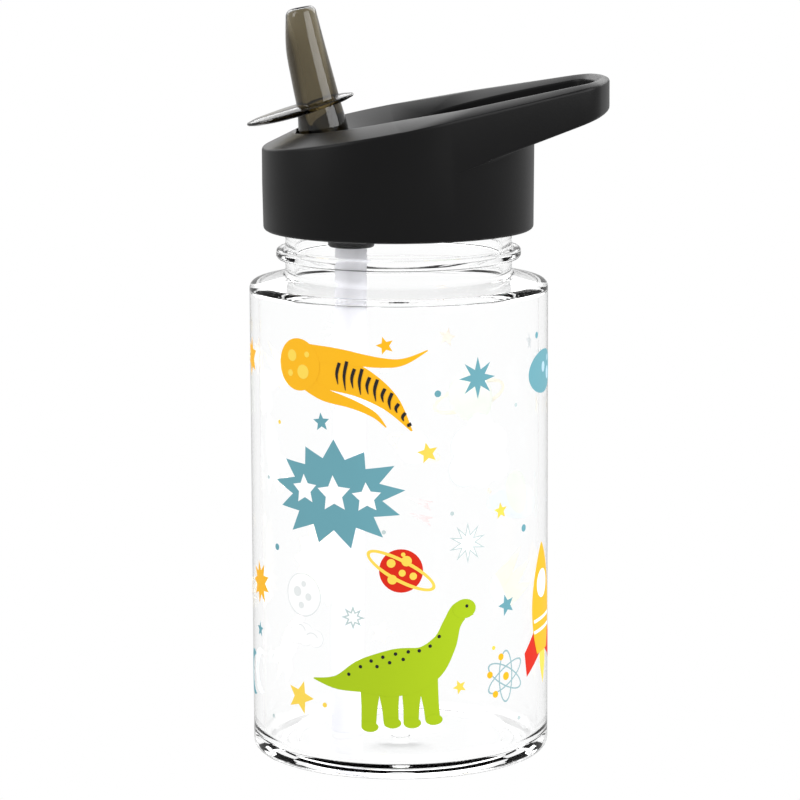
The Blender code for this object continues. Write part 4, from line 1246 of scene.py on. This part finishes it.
class BOTTLE_OT_planets(bpy.types.Operator):
    """Print the ringed planets, moons and the orbit mark"""
    bl_idname = "bottle.planets"
    bl_label = "Printed Planets"

    def execute(self, context):
        sheet = PrintedSheet(context.scene)
        add_planet(sheet, 0.4, 50.8, 5.2, "red", "yellow", -0.5,
                   ((-0.45, 0.35, 0.20), (0.25, 0.45, 0.24), (0.05, -0.1, 0.16), (0.55, -0.25, 0.17),
                    (-0.4, -0.4, 0.22), (0.1, 0.75, 0.1)))
        add_planet(sheet, 148.8, 81.5, 6.6, "sage", "yellow", -0.35,
                   ((-0.3, 0.3, 0.25), (0.3, 0.1, 0.18)), "white")
        add_planet(sheet, 174.0, 67.6, 4.2, "sky", "yellow", 0.4,
                   ((-0.2, 0.3, 0.25), (0.35, -0.2, 0.2)), "white")
        add_planet(sheet, -98.0, 38.0, 4.6, "yellow", "orange", 0.45, ((0.1, 0.2, 0.25),), "orange")
        edge_moon, pale_moon, orbit_mark = (73.0, 94.2), (-39.7, 43.5), (44.2, 23.1)
        sheet.add([ring_points(9.0, 64, squeeze=0.58)], "teal", *edge_moon)
        for x, y, radius in ((0.0, 1.0, 1.3), (4.4, -1.0, 1.6), (4.6, 2.6, 0.8)):
            add_dot(sheet, *edge_moon, radius, "sky", x, y, 1)
        sheet.add([crescent_points(5.6, 4.8, 3.0)], "teal", -80.0, 20.0)
        sheet.add([star_points(6, 4.8, 2.6, 0.4)], "orange", -79.0, 97.5)
        sheet.add([ring_points(5.3, 48), ring_points(5.0, 48)], "mist", *pale_moon)
        sheet.add([ring_points(4.97, 48)], "white", *pale_moon)
        for x, y, radius in ((-1.8, 0.6, 1.2), (1.6, -0.4, 0.9), (0.2, 2.6, 0.7), (-0.6, -2.6, 0.8)):
            add_dot(sheet, *pale_moon, radius, "mist", x, y, 1)
        for k in range(3):
            turn = math.radians(90 + 60 * k)
            orbit = [ring_points(6.4, 72, squeeze=0.36, turn=turn),
                     ring_points(5.95, 72, squeeze=0.325, turn=turn)]
            sheet.add(orbit, "line", *orbit_mark, k)
            add_dot(sheet, *orbit_mark, 0.85, "orange", 5.2 * math.cos(turn + 0.33),
                    5.2 * math.sin(turn + 0.33), 3)
        add_dot(sheet, *orbit_mark, 1.0, "orange", layer=3)
        sheet.finish("print_planets")
        return {"FINISHED"}


class BOTTLE_OT_clouds(bpy.types.Operator):
    """Print the white clouds"""
    bl_idname = "bottle.clouds"
    bl_label = "Printed Clouds"

    def execute(self, context):
        sheet = PrintedSheet(context.scene)
        tall = [(-4.6, -4.4, 4.4), (0.4, -5.2, 4.0), (5.2, -4.2, 4.0), (-3.6, 1.8, 4.8),
                (3.2, 1.4, 5.2), (-0.4, 5.6, 3.9)]
        add_cloud(sheet, 32.0, 78.3, tall, 0.94)
        flat = [(-3.8, -0.4, 2.6), (0.0, 0.4, 3.3), (3.9, -0.4, 2.5)]
        add_cloud(sheet, -39.0, 33.6, flat, 0.85)
        add_cloud(sheet, 196.0, 80.0, [(-4.8, 0.0, 3.4), (0.0, 1.2, 4.4), (5.0, -0.2, 3.2)])
        sheet.finish("print_clouds")
        return {"FINISHED"}


class BOTTLE_OT_rockets(bpy.types.Operator):
    """Print the rockets and the flying saucer"""
    bl_idname = "bottle.rockets"
    bl_label = "Printed Rockets"

    def execute(self, context):
        sheet = PrintedSheet(context.scene)
        add_rocket(sheet, 71.5, 39.5, 27.0, 0.04, "orange", "red", "white")
        add_rocket(sheet, -112.0, 73.0, 17.0, -0.3, "sky", "teal", "white")
        add_rocket(sheet, 232.0, 22.0, 15.0, 0.7, "red", "teal", "white")
        saucer, lean = (121.0, 57.0), -0.2
        dome = ring_points(5.4, 40, (0.0, 2.4))
        plate = ring_points(13.0, 64, squeeze=0.32)
        sheet.add([moved(dome, turn=lean)], "sage", *saucer)
        sheet.add([moved(plate, turn=lean)], "sky", *saucer, 1)
        for x in (-8.4, -2.8, 2.8, 8.4):
            sheet.add([moved(ring_points(1.2, 20, (x, -0.4)), turn=lean)], "yellow", *saucer, 2)
        for y in (50.0, 54.0):
            flag = [(-3.6, 1.0), (3.2, 0.0), (-3.6, -1.4), (-2.4, 0.0)]
            sheet.add([moved(flag, turn=0.3)], "red", 172.0, y)
        sheet.finish("print_rockets")
        return {"FINISHED"}


class BOTTLE_OT_longneck(bpy.types.Operator):
    """Print the green long-necked dinosaur shapes with their spots"""
    bl_idname = "bottle.longneck"
    bl_label = "Printed Long-Necks"

    def execute(self, context):
        sheet = PrintedSheet(context.scene)
        self.print_one(sheet, -1.5, 25.2, 1.0, "green", "dark")
        self.print_one(sheet, 256.0, 88.0, 0.55, "sage", "white")
        sheet.finish("print_longnecks")
        return {"FINISHED"}

    def print_one(self, sheet, azimuth, height, grow, body, spots):
        line = [(-21.0, -1.5), (-14.5, -1.8), (-7.5, 0.2), (0.0, 1.2), (7.0, 3.0), (11.4, 7.6),
                (13.4, 12.4), (15.6, 15.4), (19.0, 15.6)]
        widths = (0.3, 3.4, 8.4, 11.4, 9.4, 6.2, 4.6, 4.8, 3.0)
        outline = moved(swoosh_points(line, widths, 48), grow=grow)
        sheet.add([outline], body, azimuth, height, 1)
        head = moved(ring_points(3.0, 32, (16.6, 15.8), 0.78), grow=grow)
        sheet.add([head], body, azimuth, height, 2)
        for x, y, reach, lean in ((-6.2, -2.0, 10.0, -0.5), (-1.8, -3.4, 7.6, 0.5),
                                  (3.6, -2.0, 9.0, -0.2), (7.4, -1.0, 9.4, 1.2)):
            leg = swoosh_points([(x, y), (x + lean * 0.6, y - reach * 0.55),
                                 (x + lean, y - reach)], (5.0, 3.9, 3.6))
            foot = ring_points(2.1, 24, (x + lean + 0.3, y - reach), 0.62)
            sheet.add([moved(leg, grow=grow)], body, azimuth, height, 0)
            sheet.add([moved(foot, grow=grow)], body, azimuth, height, 2)
        for x, y in ((-11.5, 0.4), (-8.6, 2.4), (-6.0, 3.9), (-3.2, 4.9), (-4.6, 2.6), (-0.2, 5.7),
                     (-1.6, 3.6), (2.8, 6.2), (1.6, 4.4), (5.4, 6.4), (8.0, 7.4), (10.2, 9.6)):
            add_dot(sheet, azimuth, height, 0.42 * grow, spots, x * grow, y * grow, 2)
        add_dot(sheet, azimuth, height, 0.40 * grow, spots, 17.2 * grow, 16.4 * grow, 3)


# ================================================================ stage
def camera_matrix(settings):
    elevation, roll = math.radians(settings.elevation), math.radians(settings.roll)
    ahead = Vector((0.0, math.cos(elevation), -math.sin(elevation)))
    right = Vector((1.0, 0.0, 0.0))
    up = right.cross(ahead)
    across = right * math.cos(roll) + up * math.sin(roll)
    above = up * math.cos(roll) - right * math.sin(roll)
    place = Vector((settings.target_side, 0.0, settings.target_height)) - ahead * settings.distance
    columns = Matrix((across, above, -ahead)).transposed().to_4x4()
    return Matrix.Translation(place) @ columns


def add_light(name, place, target, width, height, power):
    data = bpy.data.lights.new(name, "AREA")
    data.shape = "RECTANGLE"
    data.size = width
    data.size_y = height
    data.energy = power
    light = bpy.data.objects.new(name, data)
    bpy.context.scene.collection.objects.link(light)
    light.location = place
    aim = Vector(target) - Vector(place)
    light.rotation_euler = aim.to_track_quat("-Z", "Y").to_euler()


def studio_glow(tree, kind, settings, output, socket):
    """White where it is seen straight or through clear plastic, dimmer for gloss and shade."""
    path = tree.nodes.new("ShaderNodeLightPath")
    parts = []
    for share in (1.0, settings.gloss, settings.fill):
        part = add_node(tree, kind, Strength=settings.world * share)
        part.inputs["Color"].default_value = (1.0, 1.0, 1.0, 1.0)
        parts.append(part.outputs[0])
    mirrored = math_node(tree, "SUBTRACT", path.outputs["Is Glossy Ray"],
                         path.outputs["Is Transmission Ray"])
    mirrored.node.use_clamp = True
    for ray, other in ((mirrored, 1), (path.outputs["Is Diffuse Ray"], 2)):
        mix = tree.nodes.new("ShaderNodeMixShader")
        link(tree, ray, mix.inputs["Fac"])
        link(tree, parts[0], mix.inputs[1])
        link(tree, parts[other], mix.inputs[2])
        parts[0] = mix.outputs["Shader"]
    link(tree, parts[0], output.inputs[socket])


def make_world(settings):
    world = bpy.data.worlds.new("studio")
    bpy.context.scene.world = world
    world.use_nodes = True
    tree = world.node_tree
    tree.nodes.clear()
    output = tree.nodes.new("ShaderNodeOutputWorld")
    studio_glow(tree, "ShaderNodeBackground", settings, output, "Surface")


def make_floor(settings):
    """A pale lit table top, as bright as the backdrop, so that it has no horizon."""
    bm = bmesh.new()
    bmesh.ops.create_grid(bm, x_segments=2, y_segments=2, size=3000.0)
    bmesh.ops.translate(bm, vec=(0.0, 0.0, -0.05), verts=bm.verts)
    pale = bpy.data.materials.new("pale_floor")
    pale.use_nodes = True
    tree = pale.node_tree
    tree.nodes.clear()
    output = tree.nodes.new("ShaderNodeOutputMaterial")
    studio_glow(tree, "ShaderNodeEmission", settings, output, "Surface")
    new_object("floor", bm, [pale], 0.0)


class BOTTLE_OT_stage(bpy.types.Operator):
    """Set the pale floor, the soft lights, the backdrop and the camera"""
    bl_idname = "bottle.stage"
    bl_label = "Stage"

    def execute(self, context):
        scene = context.scene
        settings = scene.bottle_stage_settings
        scene.view_settings.view_transform = "Standard"
        make_world(settings)
        make_floor(settings)
        add_light("back_softbox", (0.1, 1.0, 0.9), (0.0, 0.0, 0.14), 2.4, 1.2, 17.0)
        add_light("right_softbox", (0.85, -0.45, 0.64), (0.0, 0.0, 0.16), 1.1, 0.8, 10.5)
        add_light("left_softbox", (-0.90, -0.25, 0.64), (0.0, 0.0, 0.16), 0.5, 0.8, 4.5)
        camera = bpy.data.objects.new("camera", bpy.data.cameras.new("camera"))
        scene.collection.objects.link(camera)
        camera.data.lens = settings.lens
        camera.data.sensor_width = 36.0
        camera.data.clip_start = 0.05
        camera.data.clip_end = 20.0
        camera.matrix_world = camera_matrix(settings)
        scene.camera = camera
        return {"FINISHED"}


# ================================================================ panel and main
STEPS = (BOTTLE_OT_stage, BOTTLE_OT_body, BOTTLE_OT_lid, BOTTLE_OT_spout, BOTTLE_OT_straw,
         BOTTLE_OT_seals, BOTTLE_OT_comets, BOTTLE_OT_bursts, BOTTLE_OT_stars, BOTTLE_OT_planets,
         BOTTLE_OT_clouds, BOTTLE_OT_rockets, BOTTLE_OT_longneck)


class BOTTLE_PT_pieces(bpy.types.Panel):
    bl_label = "Water Bottle"
    bl_idname = "BOTTLE_PT_pieces"
    bl_space_type = "VIEW_3D"
    bl_region_type = "UI"
    bl_category = "Bottle"

    def draw(self, context):
        for step in STEPS:
            self.layout.operator(step.bl_idname)


SETTINGS = {
    "bottle_body_settings": BottleSettings,
    "bottle_lid_settings": LidSettings,
    "bottle_spout_settings": SpoutSettings,
    "bottle_straw_settings": StrawSettings,
    "bottle_print_settings": PrintSettings,
    "bottle_stage_settings": StageSettings,
}


def register():
    for group in SETTINGS.values():
        bpy.utils.register_class(group)
    for name, group in SETTINGS.items():
        setattr(bpy.types.Scene, name, PointerProperty(type=group))
    for step in STEPS:
        bpy.utils.register_class(step)
    bpy.utils.register_class(BOTTLE_PT_pieces)


def unregister():
    bpy.utils.unregister_class(BOTTLE_PT_pieces)
    for step in reversed(STEPS):
        bpy.utils.unregister_class(step)
    for name in SETTINGS:
        delattr(bpy.types.Scene, name)
    for group in reversed(list(SETTINGS.values())):
        bpy.utils.unregister_class(group)


def main():
    register()
    for step in STEPS:
        family, name = step.bl_idname.split(".")
        getattr(getattr(bpy.ops, family), name)()


if __name__ == "__main__":
    main()
